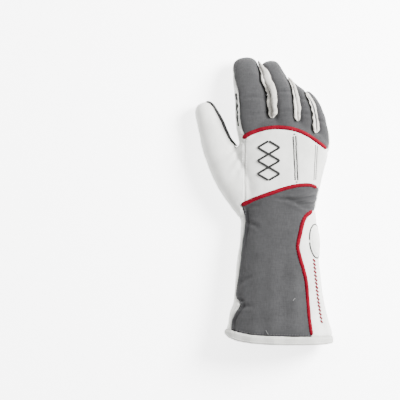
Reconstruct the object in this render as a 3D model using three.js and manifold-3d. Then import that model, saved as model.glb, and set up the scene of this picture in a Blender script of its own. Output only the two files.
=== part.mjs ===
// A right-hand racing glove with a gauntlet cuff, lying palm down with its fingers a little curled.
// Millimetres. +Y runs from the cuff's opening to the fingertips, +Z is up through the back of the
// hand, and the little finger is on +X. The floor it lies on is z = 0.
import * as THREE from "three";
import { mergeVertices } from "three/addons/utils/BufferGeometryUtils.js";
import Module from "manifold-3d";

const wasm = await Module();
wasm.setup();

// Thicknesses, and the gaps left between sewn pieces
const WALL = 2.2;
const SEAM_GAP = 0.6;
const SKIN_GAP = 0.35;
const PIPING_RADIUS = 1.9;
const TRIM_RADIUS = 0.9;
const HEM_PROUD = 0.9;
const PAD_THICKNESS = 2.6;
const GRIP_THICKNESS = 1.2;
const GUSSET_WALL = 2;

// How finely the solids are faceted
const SKIN = { handSides: 30, handRings: 16, fingerSides: 12, fingerRings: 10 };
const LINING = { handSides: 16, handRings: 10, fingerSides: 9, fingerRings: 6 };
const KNUCKLE_CROWDING = 1.3;
const TIP_CROWDING = 0.9;
const PIPING_STEPS = 16;
const PIPING_SIDES = 6;
const PIPING_SUNK = 0.5;
const SEAM_STEPS = 13;
const PAD_SIDES = 14;
const PAD_RINGS = 8;
const TRIM_SIDES = 6;
const FAR = 120;

// The cuff, wrist and hand: one row for each level from the opening to the knuckles
const HAND = [
  { y: -161, left: -46, right: 76, top: 50, bottom: -4 },
  { y: -150, left: -45.5, right: 75.5, top: 49, bottom: -4 },
  { y: -138, left: -41, right: 71.5, top: 48, bottom: -4 },
  { y: -126, left: -39, right: 68.5, top: 47, bottom: -4 },
  { y: -113, left: -35, right: 66.5, top: 46, bottom: -4 },
  { y: -90, left: -33.5, right: 62.7, top: 45, bottom: -4 },
  { y: -68, left: -31.4, right: 60, top: 44, bottom: -4 },
  { y: -46, left: -29, right: 59.5, top: 43, bottom: -4 },
  { y: -25, left: -27, right: 58, top: 41, bottom: -4 },
  { y: -10, left: -27.5, right: 56.5, top: 40, bottom: -4 },
  { y: 10, left: -27, right: 60.5, top: 40, bottom: -4 },
  { y: 30, left: -28, right: 65.2, top: 41, bottom: -2 },
  { y: 50, left: -33, right: 68.4, top: 42.5, bottom: 3 },
  { y: 58, left: -31.4, right: 69, top: 43, bottom: 5.6 },
  { y: 66, left: -25.4, right: 69.4, top: 43.5, bottom: 8 },
  { y: 80, left: -25, right: 70, top: 44, bottom: 12 },
  { y: 98, left: -21, right: 67, top: 42, bottom: 15 },
];
const CUFF_MOUTH = HAND[0].y;
const KNUCKLE_END = HAND[HAND.length - 1].y;
const KNUCKLE_DOME_FROM = 76;
const KNUCKLE_TAPER = 0.6;
const HAND_SQUARE = 2.35;
const THINNEST = 0.4;
// The knuckles slope back towards the little finger
const SLOPE = { from: 20, to: 90, start: 8, reach: 60, back: 22, bend: 1.6, most: 1.2 };

// Fingers and thumb: the centre line, half width and half depth, from inside the hand to the tip
const FINGERS = {
  index: [
    { x: -10, y: 52, z: 22, width: 16, depth: 12 },
    { x: -13, y: 78, z: 28, width: 18.6, depth: 13 },
    { x: -14.8, y: 100, z: 29.5, width: 19, depth: 12.6 },
    { x: -17.4, y: 120, z: 26.5, width: 17.8, depth: 12 },
    { x: -20.6, y: 139, z: 20, width: 15.4, depth: 11.2 },
    { x: -23.6, y: 157.8, z: 11.5, width: 13, depth: 10 },
  ],
  middle: [
    { x: 19, y: 52, z: 23, width: 13.8, depth: 12 },
    { x: 21.6, y: 78, z: 30, width: 14.4, depth: 13.4 },
    { x: 21.6, y: 100, z: 32, width: 14.6, depth: 13 },
    { x: 17.4, y: 120, z: 29, width: 14, depth: 12.4 },
    { x: 9.4, y: 137, z: 21.5, width: 13, depth: 11.4 },
    { x: 3.2, y: 152.8, z: 12, width: 11.2, depth: 10.2 },
  ],
  ring: [
    { x: 44, y: 48, z: 21, width: 12.6, depth: 11.4 },
    { x: 45.6, y: 74, z: 27, width: 13, depth: 12.6 },
    { x: 44, y: 96, z: 27.5, width: 12.6, depth: 12.2 },
    { x: 36.8, y: 112, z: 22.5, width: 11.6, depth: 11.4 },
    { x: 29.6, y: 119.8, z: 17.5, width: 11, depth: 10.6 },
    { x: 17.6, y: 131, z: 11.5, width: 10, depth: 9.6 },
  ],
  little: [
    { x: 57.5, y: 42, z: 19, width: 11, depth: 10.4 },
    { x: 61, y: 66, z: 22, width: 11.2, depth: 11 },
    { x: 58.2, y: 86, z: 21.5, width: 10.8, depth: 10.8 },
    { x: 53, y: 101, z: 17, width: 10.2, depth: 10.2 },
    { x: 47.4, y: 111.5, z: 12.4, width: 9.6, depth: 9.4 },
    { x: 41.4, y: 118.8, z: 9.8, width: 8.8, depth: 8.6 },
  ],
  thumb: [
    { x: -14, y: -14, z: 18, width: 16, depth: 14 },
    { x: -28, y: 12, z: 19, width: 20.5, depth: 16 },
    { x: -41.4, y: 36.3, z: 18.5, width: 20.6, depth: 16 },
    { x: -48, y: 48.5, z: 17.5, width: 19, depth: 15.4 },
    { x: -54.2, y: 60.5, z: 16.5, width: 16.8, depth: 14.6 },
    { x: -61.7, y: 83, z: 14.5, width: 14.3, depth: 13 },
    { x: -66.3, y: 97, z: 13, width: 11.8, depth: 11.8 },
    { x: -68.8, y: 109, z: 12, width: 9.8, depth: 10 },
  ],
};
const OVER_SKIN = 1;
const KNUCKLES_FROM = 40;
const OVER_FINGER = { rings: 9, reach: 30, high: 42, past: 16 };
const FINGER_SQUARE = 2.2;
const TIP_SQUARE = 2.8;
const TIP_ROUND = 1.1;

// Seam lines as they are seen from above
const KNUCKLE_LINE = [
  { x: -23.9, y: 69.2 }, { x: -17.2, y: 73.4 }, { x: -6, y: 77.4 }, { x: 5, y: 79.5 },
  { x: 16.1, y: 80 }, { x: 27.2, y: 78.8 }, { x: 38.4, y: 75.6 }, { x: 49.5, y: 69.9 },
  { x: 60.6, y: 62.3 }, { x: 68.2, y: 56.4 },
];
const WRIST_LINE = [
  { x: -27, y: -6.4 }, { x: -17.2, y: -1.9 }, { x: -6, y: 2.8 }, { x: 5.1, y: 6.7 },
  { x: 16.2, y: 10.6 }, { x: 27.3, y: 13.8 }, { x: 38.4, y: 15.9 }, { x: 49.6, y: 16.1 },
  { x: 58, y: 13.2 },
];
const SIDE_LINE = [
  { x: 52.6, y: -12.6 }, { x: 45.4, y: -18.2 }, { x: 41.8, y: -25.1 }, { x: 39.2, y: -35 },
  { x: 36.5, y: -47.3 }, { x: 36, y: -55 }, { x: 39, y: -67.3 }, { x: 42.3, y: -78.4 },
  { x: 45.5, y: -92.9 }, { x: 46.9, y: -111.8 }, { x: 48.8, y: -134 }, { x: 51.4, y: -152 },
];
const CUFF_LEFT_LINE = [
  { x: -26.9, y: -7.8 }, { x: -24, y: -16.2 }, { x: -23.2, y: -27.4 }, { x: -25.2, y: -40.9 },
  { x: -27.7, y: -58.8 }, { x: -30.2, y: -82.3 }, { x: -32.5, y: -101.4 }, { x: -32.3, y: -109.2 },
  { x: -28.2, y: -116.5 }, { x: -29.7, y: -120.4 }, { x: -34.2, y: -127.1 }, { x: -37.5, y: -135 },
  { x: -38.6, y: -143.9 }, { x: -39.4, y: -152 },
];
const THUMB_LINE = [
  { x: -26, y: -20 }, { x: -26, y: -6 }, { x: -23.2, y: 0 }, { x: -23.2, y: 60 },
  { x: -27.5, y: 68 }, { x: -35, y: 82 }, { x: -43, y: 102 }, { x: -50, y: 140 },
];
// On the palm's side the fingers' fronts are sewn on along their roots
const FINGER_ROOT_LINE = [
  { x: -60, y: 70 }, { x: -20, y: 72 }, { x: 30, y: 72 }, { x: 52, y: 62 }, { x: 90, y: 42 },
];
const ROOT_STEPS = 6;
const HAND_LEFT = -22.6;
const BEYOND_MOUTH = 12;
const MOUTH_LINE = [
  { x: -60, y: -146 }, { x: -46, y: -150.5 }, { x: -30, y: -158.2 }, { x: 0, y: -161.8 },
  { x: 50.4, y: -162.4 }, { x: 90, y: -160 },
];
const HEM_LINE = [
  { x: -60, y: -142 }, { x: -46, y: -143.8 }, { x: -28, y: -148 }, { x: 0, y: -151.4 },
  { x: 51.5, y: -152.4 }, { x: 90, y: -152 },
];
const HEM_STEPS = 8;
// The gauntlet's underside is sewn to the palm along this line
const UNDER_EDGE = -11;
// Where the back's seams pass the little-finger edge, on the way round to the palm
const KNUCKLE_LINE_LEAVES = 36;
const WRIST_LINE_LEAVES = 4;

// Heights of the seams that run along the glove's sides, and the index finger's higher seam
const KNUCKLE_SEAM_HEIGHT = 27;
const BACK_SEAM_HEIGHT = 26;
const CUFF_SEAM_HEIGHT = 23;
const SIDE_SEAM_HEIGHT = 11;
const INDEX_SEAM_RISE = 12;
const INDEX_SEAM_FADE = { from: 0.6, to: 0.95 };

// Gussets: the line of each gap between two fingers, with the half width over its two seams
const GUSSETS = {
  gusset_index_middle: [
    { x: 7.4, y: 90.5, half: 3.9 }, { x: 8.1, y: 100, half: 5.3 }, { x: 7.6, y: 110.9, half: 5.6 },
    { x: 6.3, y: 122.1, half: 5.3 }, { x: 2.4, y: 133.2, half: 4.8 },
    { x: -0.9, y: 141.6, half: 4.3 }, { x: -3.4, y: 146.8, half: 3 },
  ],
  gusset_middle_ring: [
    { x: 36.2, y: 87.2, half: 2.8 }, { x: 35.5, y: 94.1, half: 3.6 },
    { x: 35.3, y: 105.3, half: 3.8 }, { x: 34, y: 116.5, half: 3.4 },
    { x: 31.4, y: 127.2, half: 2.6 }, { x: 28.2, y: 133.6, half: 1.9 },
  ],
  gusset_ring_little: [
    { x: 56.6, y: 74, half: 2.8 }, { x: 56.4, y: 80, half: 3.9 }, { x: 56.1, y: 88.6, half: 3.2 },
    { x: 54.5, y: 99.8, half: 2.9 }, { x: 52, y: 108.7, half: 2.9 },
    { x: 47.4, y: 117.4, half: 2.1 },
  ],
};
const GUSSET_PROUD = 1.8;
const GUSSET_FOLD = 6;
const GUSSET_CREASE = 1;
const GUSSET_SECTION = { foot: 0.7, lip: 0.9, slot: 0.3, crease: 0.2, besides: 1.5 };
const GUSSET_RINGS = 10;

// The oval pad over the wrist bone, on the side panel
const PAD = { x: 46, y: -46.5, z: 20, long: 20, wide: 12, tilt: 40, sunk: 3 };

// Black silicone marks on the index finger's side, and black edging on the thumb: from and to are
// shares of the finger's length
const GRIP = { from: 0.3, to: 0.62, width: 2.4, wave: 0.6, waves: 3, ringsEach: 3, rise: 6.8 };
const TRIM = { from: 0.56, to: 0.99, angle: 22, proud: 0.6 };
const TRIM_STEPS = 12;

const { degToRad, clamp } = THREE.MathUtils;
const ease = (t) => t * t * (3 - 2 * t);

// The value of a column at a place along a table, on a smooth curve through its rows
function along(rows, column, key, at) {
  const last = rows.length - 1;
  const place = clamp(at, rows[0][key], rows[last][key]);
  let i = 0;
  while (i < last - 1 && rows[i + 1][key] < place) i += 1;
  const slope = (k) => {
    const a = rows[Math.max(k - 1, 0)];
    const b = rows[Math.min(k + 1, last)];
    return (b[column] - a[column]) / (b[key] - a[key]);
  };
  const step = rows[i + 1][key] - rows[i][key];
  const t = (place - rows[i][key]) / step;
  const rise = rows[i + 1][column] - rows[i][column];
  const bend = slope(i) * (1 - t) ** 2 * t - slope(i + 1) * (1 - t) * t ** 2;
  return rows[i][column] + rise * ease(t) + step * bend;
}

// The two parts of a rounded oval's outline at an angle, each from -1 to 1
function oval(angle, square) {
  const bend = (v) => Math.sign(v) * Math.abs(v) ** (2 / square);
  return [bend(Math.cos(angle)), bend(Math.sin(angle))];
}

// A solid from coordinates and triangles, turned so that its faces point out
function solid(coordinates, faces) {
  const make = (triangles) => new wasm.Manifold(new wasm.Mesh({
    numProp: 3,
    vertProperties: new Float32Array(coordinates),
    triVerts: new Uint32Array(triangles),
  }));
  const made = make(faces);
  if (made.volume() > 0) return made;
  const turned = [];
  for (let i = 0; i < faces.length; i += 3) turned.push(faces[i], faces[i + 2], faces[i + 1]);
  return make(turned);
}

// A closed solid lofted through rings that have the same number of points
function loft(rings) {
  const sides = rings[0].length;
  const points = rings.flat();
  const faces = [];
  for (let r = 0; r < rings.length - 1; r += 1) {
    for (let i = 0; i < sides; i += 1) {
      const a = r * sides + i;
      const b = r * sides + ((i + 1) % sides);
      faces.push(a, b, b + sides, a, b + sides, a + sides);
    }
  }
  for (const end of [0, rings.length - 1]) {
    const caps = THREE.ShapeUtils.triangulateShape(flatRing(rings[end]), []);
    for (const [a, b, c] of caps) {
      const corners = [a, b, c].map((corner) => corner + end * sides);
      faces.push(...(end === 0 ? corners.reverse() : corners));
    }
  }
  return solid(points.flatMap((p) => [p.x, p.y, p.z]), faces);
}

// A ring laid flat for its cap: across its own width and height, turning the way that it runs
function flatRing(ring) {
  const normal = new THREE.Vector3();
  ring.forEach((p, i) => normal.add(new THREE.Vector3().crossVectors(p, ring[(i + 1) % ring.length])));
  const across = ring[1].clone().sub(ring[0]).normalize();
  const up = new THREE.Vector3().crossVectors(normal.normalize(), across);
  return ring.map((p) => new THREE.Vector2(p.dot(across), p.dot(up)));
}

// A solid from a three.js geometry, with its shared corners merged
function solidOf(geometry) {
  const bare = geometry.clone();
  bare.deleteAttribute("normal");
  bare.deleteAttribute("uv");
  const merged = mergeVertices(bare, 1e-4);
  return solid([...merged.attributes.position.array], [...merged.index.array]);
}

// A three.js geometry from a solid
function geometryOf(body) {
  const { vertProperties, triVerts } = body.getMesh();
  const geometry = new THREE.BufferGeometry();
  geometry.setAttribute("position", new THREE.BufferAttribute(vertProperties, 3));
  geometry.setIndex(new THREE.BufferAttribute(triVerts, 1));
  geometry.computeVertexNormals();
  return geometry;
}

const union = (solids) => solids.reduce((sum, body) => sum.add(body));

// Everything between two heights
function slab(low, high) {
  const geometry = new THREE.BoxGeometry(4 * FAR, 4 * FAR, high - low);
  geometry.translate(0, 0, (low + high) / 2);
  return solidOf(geometry);
}

// A point of the hand's skin: angle 0 is the little-finger edge, a right angle the back
function handPoint(y, angle, grow) {
  const [left, right, top, bottom] = ["left", "right", "top", "bottom"]
    .map((name) => along(HAND, name, "y", y));
  const end = clamp((y - KNUCKLE_DOME_FROM) / (KNUCKLE_END + grow - KNUCKLE_DOME_FROM), 0, 1);
  const close = Math.sqrt(1 - end ** 3);
  const taper = 1 - KNUCKLE_TAPER + KNUCKLE_TAPER * close;
  const halfWidth = ((right - left) / 2 + grow) * taper;
  const halfDepth = Math.max(THINNEST, ((top - bottom) / 2 + grow) * close);
  const [across, through] = oval(angle, HAND_SQUARE);
  const x = (left + right) / 2 + halfWidth * across;
  const outer = clamp((x - SLOPE.start) / SLOPE.reach, 0, SLOPE.most) ** SLOPE.bend;
  const ramp = ease(clamp((y - SLOPE.from) / (SLOPE.to - SLOPE.from), 0, 1));
  return new THREE.Vector3(
    x,
    y - SLOPE.back * outer * ramp,
    (top + bottom) / 2 + halfDepth * through,
  );
}

// The hand and cuff as one body, from a level to the knuckles
function handBody(grow, from, { handSides, handRings }) {
  const end = KNUCKLE_END + grow;
  return loft(Array.from({ length: handRings }, (_, r) => {
    const y = from + (end - from) * (1 - (1 - r / (handRings - 1)) ** KNUCKLE_CROWDING);
    return Array.from({ length: handSides }, (__, i) => (
      handPoint(y, (2 * Math.PI * i) / handSides, grow)
    ));
  }));
}

// The frame of a finger at a share of its length: its middle, its sideways and upward directions,
// and its half sizes
function fingerFrame(rows, share, grow) {
  const line = new THREE.CatmullRomCurve3(rows.map(({ x, y, z }) => new THREE.Vector3(x, y, z)));
  const tip = rows[rows.length - 1];
  const length = line.getLength();
  const start = Math.max(0, 1 - (tip.depth * TIP_ROUND + grow) / length);
  const end = 1 + grow / length;
  const t = clamp((share * end - start) / (end - start), 0, 1);
  const close = (1 - t ** TIP_SQUARE) ** (1 / TIP_SQUARE);
  const at = Math.min(share * end, 1);
  const forward = line.getTangentAt(at);
  const side = new THREE.Vector3(forward.y, -forward.x, 0).normalize();
  const up = new THREE.Vector3().crossVectors(side, forward).normalize();
  const middle = line.getPointAt(at).addScaledVector(forward, Math.max(0, share * end - 1) * length);
  const y = line.getPointAt(at).y;
  const size = (name) => Math.max(THINNEST, (along(rows, name, "y", y) + grow) * close);
  return { middle, side, up, forward, width: size("width"), depth: size("depth") };
}

// A whole finger, rounded at its tip
function fingerBody(rows, grow, { fingerSides, fingerRings }) {
  return loft(Array.from({ length: fingerRings }, (_, r) => {
    const share = Math.sin((Math.PI / 2) * (r / (fingerRings - 1))) ** TIP_CROWDING;
    const { middle, side, up, width, depth } = fingerFrame(rows, share, grow);
    return Array.from({ length: fingerSides }, (__, i) => {
      const [across, through] = oval((2 * Math.PI * i) / fingerSides, FINGER_SQUARE);
      return middle.clone().addScaledVector(side, width * across).addScaledVector(up, depth * through);
    });
  }));
}

// The space over a finger's back, from its seam up. On the left the seam may be raised; it comes
// down again towards the tip.
function overFinger(rows, raised, grow) {
  const { rings, reach, high, past } = OVER_FINGER;
  const { from, to } = INDEX_SEAM_FADE;
  return loft(Array.from({ length: rings }, (_, r) => {
    const share = Math.min(r / (rings - 2), 1);
    const { middle, side, up, forward } = fingerFrame(rows, share, 0);
    const lowLeft = raised * (1 - ease(clamp((share - from) / (to - from), 0, 1))) - grow;
    const beyond = r === rings - 1 ? past : 0;
    const place = (across, above) => middle.clone().addScaledVector(forward, beyond)
      .addScaledVector(side, across).addScaledVector(up, above);
    return [
      place(-reach, lowLeft), place(reach, -grow), place(reach, high), place(-reach, high),
    ];
  }));
}

// A smooth line through a table's points
function smooth(line, count) {
  const curve = new THREE.SplineCurve(line.map(({ x, y }) => new THREE.Vector2(x, y)));
  return curve.getPoints(count).map((p) => ({ x: p.x, y: p.y }));
}

// A smooth line moved sideways: positive amounts move it to the left of its own direction
function beside(line, amount) {
  return line.map((p, i) => {
    const a = line[Math.max(i - 1, 0)];
    const b = line[Math.min(i + 1, line.length - 1)];
    const length = Math.hypot(b.x - a.x, b.y - a.y);
    return { x: p.x - (amount * (b.y - a.y)) / length, y: p.y + (amount * (b.x - a.x)) / length };
  });
}

// An outline seen from above, pushed through from a height up to another
function column(outline, low, high) {
  const shape = new THREE.Shape(outline.map(({ x, y }) => new THREE.Vector2(x, y)));
  const geometry = new THREE.ExtrudeGeometry(shape, { depth: high - low, bevelEnabled: false });
  geometry.translate(0, 0, low);
  return solidOf(geometry);
}

// A tube along points, with flat ends
function tube(points, radius, sides) {
  const section = new THREE.Shape(Array.from({ length: sides }, (_, i) => {
    const angle = (2 * Math.PI * i) / sides;
    return new THREE.Vector2(radius * Math.cos(angle), radius * Math.sin(angle));
  }));
  const extrudePath = new THREE.CatmullRomCurve3(points);
  const steps = points.length - 1;
  return solidOf(new THREE.ExtrudeGeometry(section, { steps, extrudePath, bevelEnabled: false }));
}

// The point of a surface that a straight look from outside meets first
function looked(surface, from, direction) {
  const ray = new THREE.Raycaster(from, direction.clone().normalize());
  return ray.intersectObject(surface)[0]?.point;
}

// The height of the skin under a point seen from above, or the floor's where there is none
function skinHeight({ x, y }) {
  return looked(skinSurface, new THREE.Vector3(x, y, FAR), new THREE.Vector3(0, 0, -1))?.z ?? 0;
}

// A piping's points: on the skin along a seam line, sunk a little into the seam
function pipingRoute(line) {
  const onSkin = smooth(line, PIPING_STEPS).map((p) => ({ ...p, z: skinHeight(p) }));
  return onSkin.map((p, i) => {
    const near = onSkin.slice(Math.max(i - 2, 0), i + 3);
    const height = near.reduce((sum, q) => sum + q.z, 0) / near.length;
    return new THREE.Vector3(p.x, p.y, height - PIPING_SUNK);
  });
}

// The largest connected body of a cut piece, without crumbs
function largest(body) {
  return body.decompose().reduce((best, part) => (part.volume() > best.volume() ? part : best));
}

// Everything on the forearm's side of a line across the cuff, moved towards the fingers by an amount
function acrossCuff(line, amount) {
  const edge = smooth(line, HEM_STEPS).map(({ x, y }) => ({ x, y: y + amount })).reverse();
  const far = -2 * FAR;
  return column([{ x: edge[edge.length - 1].x, y: far }, { x: edge[0].x, y: far }, ...edge], -FAR, FAR);
}

// The region of the finger backs, from the knuckle seam on. Each region is moved outward by grow.
function fingerBackRegion(grow) {
  const edge = beside(smooth(KNUCKLE_LINE, SEAM_STEPS), SEAM_GAP / 2 - grow);
  const north = column([
    { x: -FAR, y: edge[0].y }, ...edge, { x: FAR, y: KNUCKLE_LINE_LEAVES }, { x: FAR, y: 2 * FAR },
    { x: -FAR, y: 2 * FAR },
  ], 0, FAR);
  const backs = ["index", "middle", "ring", "little"].map((name) => {
    const rows = FINGERS[name];
    const raised = name === "index" ? INDEX_SEAM_RISE : 0;
    return fingerBody(rows, OVER_SKIN, SKIN).intersect(overFinger(rows, raised, grow));
  });
  const knuckles = handBody(OVER_SKIN, KNUCKLES_FROM, SKIN)
    .intersect(slab(KNUCKLE_SEAM_HEIGHT - grow, FAR));
  return union([...backs, knuckles]).intersect(north);
}

// The region of the hand's back, between the knuckle seam and the wrist seam
function handBackRegion(grow) {
  const upper = beside(smooth(KNUCKLE_LINE, SEAM_STEPS), grow - SEAM_GAP / 2).reverse();
  const lower = beside(smooth(WRIST_LINE, SEAM_STEPS), SEAM_GAP / 2 - grow);
  const left = HAND_LEFT - grow;
  return column([
    ...upper.filter((p) => p.x > left), { x: left, y: along(KNUCKLE_LINE, "y", "x", left) },
    { x: left, y: along(WRIST_LINE, "y", "x", left) }, ...lower.filter((p) => p.x > left),
    { x: FAR, y: WRIST_LINE_LEAVES }, { x: FAR, y: KNUCKLE_LINE_LEAVES },
  ], BACK_SEAM_HEIGHT - grow, FAR);
}

// The region of the cuff's back, between its left edge and the side seam
function cuffBackRegion(grow) {
  const top = beside(smooth(WRIST_LINE, SEAM_STEPS), grow - SEAM_GAP / 2).reverse();
  const left = beside(smooth(CUFF_LEFT_LINE, SEAM_STEPS), -grow);
  const right = beside(smooth(SIDE_LINE, SEAM_STEPS), grow - SEAM_GAP / 2).reverse();
  return column([
    { x: FAR, y: WRIST_LINE_LEAVES }, ...top, ...left,
    { x: left[left.length - 1].x, y: -2 * FAR }, { x: right[0].x, y: -2 * FAR }, ...right,
    { x: FAR, y: SIDE_LINE[0].y },
  ], CUFF_SEAM_HEIGHT - grow, FAR);
}

// The region of the panel down the cuff's little-finger side
function sidePanelRegion(grow) {
  const edge = beside(smooth(SIDE_LINE, SEAM_STEPS), SEAM_GAP / 2 - grow);
  return column([
    { x: FAR, y: SIDE_LINE[0].y + grow }, ...edge, { x: edge[edge.length - 1].x, y: -2 * FAR },
    { x: FAR, y: -2 * FAR },
  ], SIDE_SEAM_HEIGHT - grow, FAR);
}

// The region of the gauntlet's underside
function cuffUnderRegion(grow) {
  const edge = UNDER_EDGE + grow;
  return column([
    { x: -FAR, y: -2 * FAR }, { x: FAR, y: -2 * FAR }, { x: FAR, y: edge }, { x: -FAR, y: edge },
  ], -1, FAR);
}

// The region of the fingers' fronts
function fingerFrontRegion(grow) {
  const edge = smooth(FINGER_ROOT_LINE, ROOT_STEPS).map(({ x, y }) => ({ x, y: y - grow }));
  const [first, last] = [edge[0], edge[edge.length - 1]];
  return column([...edge, { x: last.x, y: 2 * FAR }, { x: first.x, y: 2 * FAR }], -1, FAR);
}

// The region of the thumb
function thumbRegion(grow) {
  const edge = THUMB_LINE.map(({ x, y }) => ({ x: x + grow, y }));
  return column([{ x: -FAR, y: THUMB_LINE[0].y - grow }, ...edge, { x: -FAR, y: 2 * FAR }], -1, FAR);
}

// A gusset: a strip folded down between two fingers, so that its two seams stand up side by side
function gusset(rows) {
  const { foot, lip, crease, besides } = GUSSET_SECTION;
  const line = new THREE.SplineCurve(rows.map(({ x, y }) => new THREE.Vector2(x, y)));
  return loft(Array.from({ length: GUSSET_RINGS }, (_, r) => {
    const at = line.getPoint(r / (GUSSET_RINGS - 1));
    const forward = line.getTangent(r / (GUSSET_RINGS - 1));
    const half = along(rows, "half", "y", at.y);
    const place = (across, z) => new THREE.Vector3(
      at.x + forward.y * across, at.y - forward.x * across, z,
    );
    const seam = (across) => (
      Math.max(skinHeight(place(across, 0)), skinHeight(place(across * besides, 0)))
    );
    const left = seam(-half) + GUSSET_PROUD;
    const right = seam(half) + GUSSET_PROUD;
    const low = Math.min(left, right);
    const fold = clamp(skinHeight(at) + GUSSET_WALL, low - GUSSET_FOLD, low - GUSSET_CREASE);
    const slot = Math.max(GUSSET_SECTION.slot, half - GUSSET_WALL);
    return [
      place(-half * foot, fold - GUSSET_WALL * 2), place(half * foot, fold - GUSSET_WALL * 2),
      place(half, right - GUSSET_PROUD), place(half * lip, right), place(slot, right),
      place(crease, fold), place(-crease, fold),
      place(-slot, left), place(-half * lip, left), place(-half, left - GUSSET_PROUD),
    ];
  }));
}

// The crowned oval pad over the wrist bone
function wristPad() {
  const tilt = degToRad(PAD.tilt);
  const out = new THREE.Vector3(Math.cos(tilt), 0, Math.sin(tilt));
  const from = new THREE.Vector3(PAD.x, PAD.y, PAD.z).addScaledVector(out, FAR);
  const middle = looked(skinSurface, from, out.clone().negate()).addScaledVector(out, -PAD.sunk);
  const geometry = new THREE.SphereGeometry(1, PAD_SIDES, PAD_RINGS);
  geometry.scale(PAD.sunk + PAD_THICKNESS, PAD.long, PAD.wide);
  geometry.rotateY(-tilt);
  geometry.translate(middle.x, middle.y, middle.z);
  return largest(solidOf(geometry).subtract(skinWithGap));
}

// The silicone marks: a wavy strip on the index finger's outer side
function indexGrip() {
  const rows = FINGERS.index;
  const raised = fingerBody(rows, SKIN_GAP + GRIP_THICKNESS, SKIN);
  const rings = GRIP.waves * GRIP.ringsEach + 1;
  const strip = loft(Array.from({ length: rings }, (_, r) => {
    const t = r / (rings - 1);
    const share = GRIP.from + (GRIP.to - GRIP.from) * t;
    const { middle, side, up, width } = fingerFrame(rows, share, 0);
    const wave = GRIP.wave * Math.sin(2 * Math.PI * GRIP.waves * t);
    const place = (across, above) => middle.clone()
      .addScaledVector(side, across).addScaledVector(up, above);
    const low = GRIP.rise - GRIP.width / 2 + wave;
    const high = GRIP.rise + GRIP.width / 2 - wave / 2;
    return [
      place(-2 * width, low), place(-width / 2, low), place(-width / 2, high), place(-2 * width, high),
    ];
  }));
  return largest(raised.intersect(strip).subtract(skinWithGap));
}

// The black edging along the thumb's inner edge, from the crotch to the tip
function thumbTrim() {
  const points = Array.from({ length: TRIM_STEPS + 1 }, (_, i) => {
    const share = TRIM.from + ((TRIM.to - TRIM.from) * i) / TRIM_STEPS;
    const { middle, side, up, width, depth } = fingerFrame(FINGERS.thumb, share, 0);
    const angle = degToRad(TRIM.angle);
    const [across, through] = oval(angle, FINGER_SQUARE);
    const outward = SKIN_GAP + TRIM_RADIUS * TRIM.proud;
    return middle.addScaledVector(side, (width + outward) * across)
      .addScaledVector(up, (depth + outward) * through);
  });
  return largest(tube(points, TRIM_RADIUS, TRIM_SIDES).subtract(skinWithGap));
}

// The outside, the hollow and the wall between them
const floorUp = slab(0, FAR);
const mouthFrom = CUFF_MOUTH - BEYOND_MOUTH;
const body = (grow, detail) => {
  const fingers = Object.values(FINGERS).map((rows) => fingerBody(rows, grow, detail));
  return union([handBody(grow, mouthFrom, detail), ...fingers]);
};
const beyondMouth = acrossCuff(MOUTH_LINE, 0);
const belowHem = acrossCuff(HEM_LINE, 0);
const belowHemWithGap = acrossCuff(HEM_LINE, SEAM_GAP);
const skin = body(0, SKIN);
const skinWithGap = body(SKIN_GAP, SKIN);
const skinSurface = new THREE.Mesh(geometryOf(skin));
const lining = body(-WALL, LINING).intersect(slab(WALL, FAR));
const shell = skin.intersect(floorUp).subtract(lining);

// Pipings first, because every panel leaves room for them
const pipings = {
  knuckle_piping: pipingRoute(KNUCKLE_LINE),
  wrist_piping: pipingRoute(WRIST_LINE),
  side_piping: pipingRoute(SIDE_LINE),
};
const pipingRoom = union(Object.values(pipings).map((route) => (
  tube(route, PIPING_RADIUS + SKIN_GAP, PIPING_SIDES)
)));

// Panels are cut one after another, and each leaves a gap to those before it
const regions = {
  finger_back_panel: fingerBackRegion,
  hand_back_panel: handBackRegion,
  cuff_back_panel: cuffBackRegion,
  side_panel: sidePanelRegion,
  thumb: thumbRegion,
  cuff_under_panel: cuffUnderRegion,
  finger_front_panel: fingerFrontRegion,
};
const pieces = {};
let left = shell.subtract(belowHemWithGap).subtract(pipingRoom);
for (const [name, region] of Object.entries(regions)) {
  pieces[name] = largest(left.intersect(region(0)));
  left = left.subtract(region(SEAM_GAP));
}
pieces.palm_panel = largest(left);

for (const [name, route] of Object.entries(pipings)) {
  pieces[name] = largest(tube(route, PIPING_RADIUS, PIPING_SIDES).subtract(belowHemWithGap));
}
for (const [name, rows] of Object.entries(GUSSETS)) {
  pieces[name] = largest(gusset(rows).subtract(skinWithGap));
}
pieces.hem = largest(
  handBody(HEM_PROUD, mouthFrom, SKIN).intersect(floorUp).subtract(lining)
    .intersect(belowHem).subtract(beyondMouth),
);
pieces.wrist_pad = wristPad();
pieces.index_grip = indexGrip();
pieces.thumb_trim = thumbTrim();

const FINISHES = {
  knit: { color: 0x77777a, roughness: 0.95, metalness: 0 },
  suede: { color: 0xe9e9e6, roughness: 0.85, metalness: 0 },
  piping: { color: 0xb01e2e, roughness: 0.55, metalness: 0 },
  hem: { color: 0xe6e6e2, roughness: 0.8, metalness: 0 },
  silicone: { color: 0x161616, roughness: 0.45, metalness: 0 },
};
const FINISH_OF = {
  finger_back_panel: "knit",
  cuff_back_panel: "knit",
  knuckle_piping: "piping",
  wrist_piping: "piping",
  side_piping: "piping",
  hem: "hem",
  index_grip: "silicone",
  thumb_trim: "silicone",
};

const glove = new THREE.Group();
for (const [name, piece] of Object.entries(pieces)) {
  const finish = FINISHES[FINISH_OF[name] ?? "suede"];
  const mesh = new THREE.Mesh(geometryOf(piece), new THREE.MeshStandardMaterial(finish));
  mesh.name = name;
  glove.add(mesh);
}

export default glove;
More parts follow.
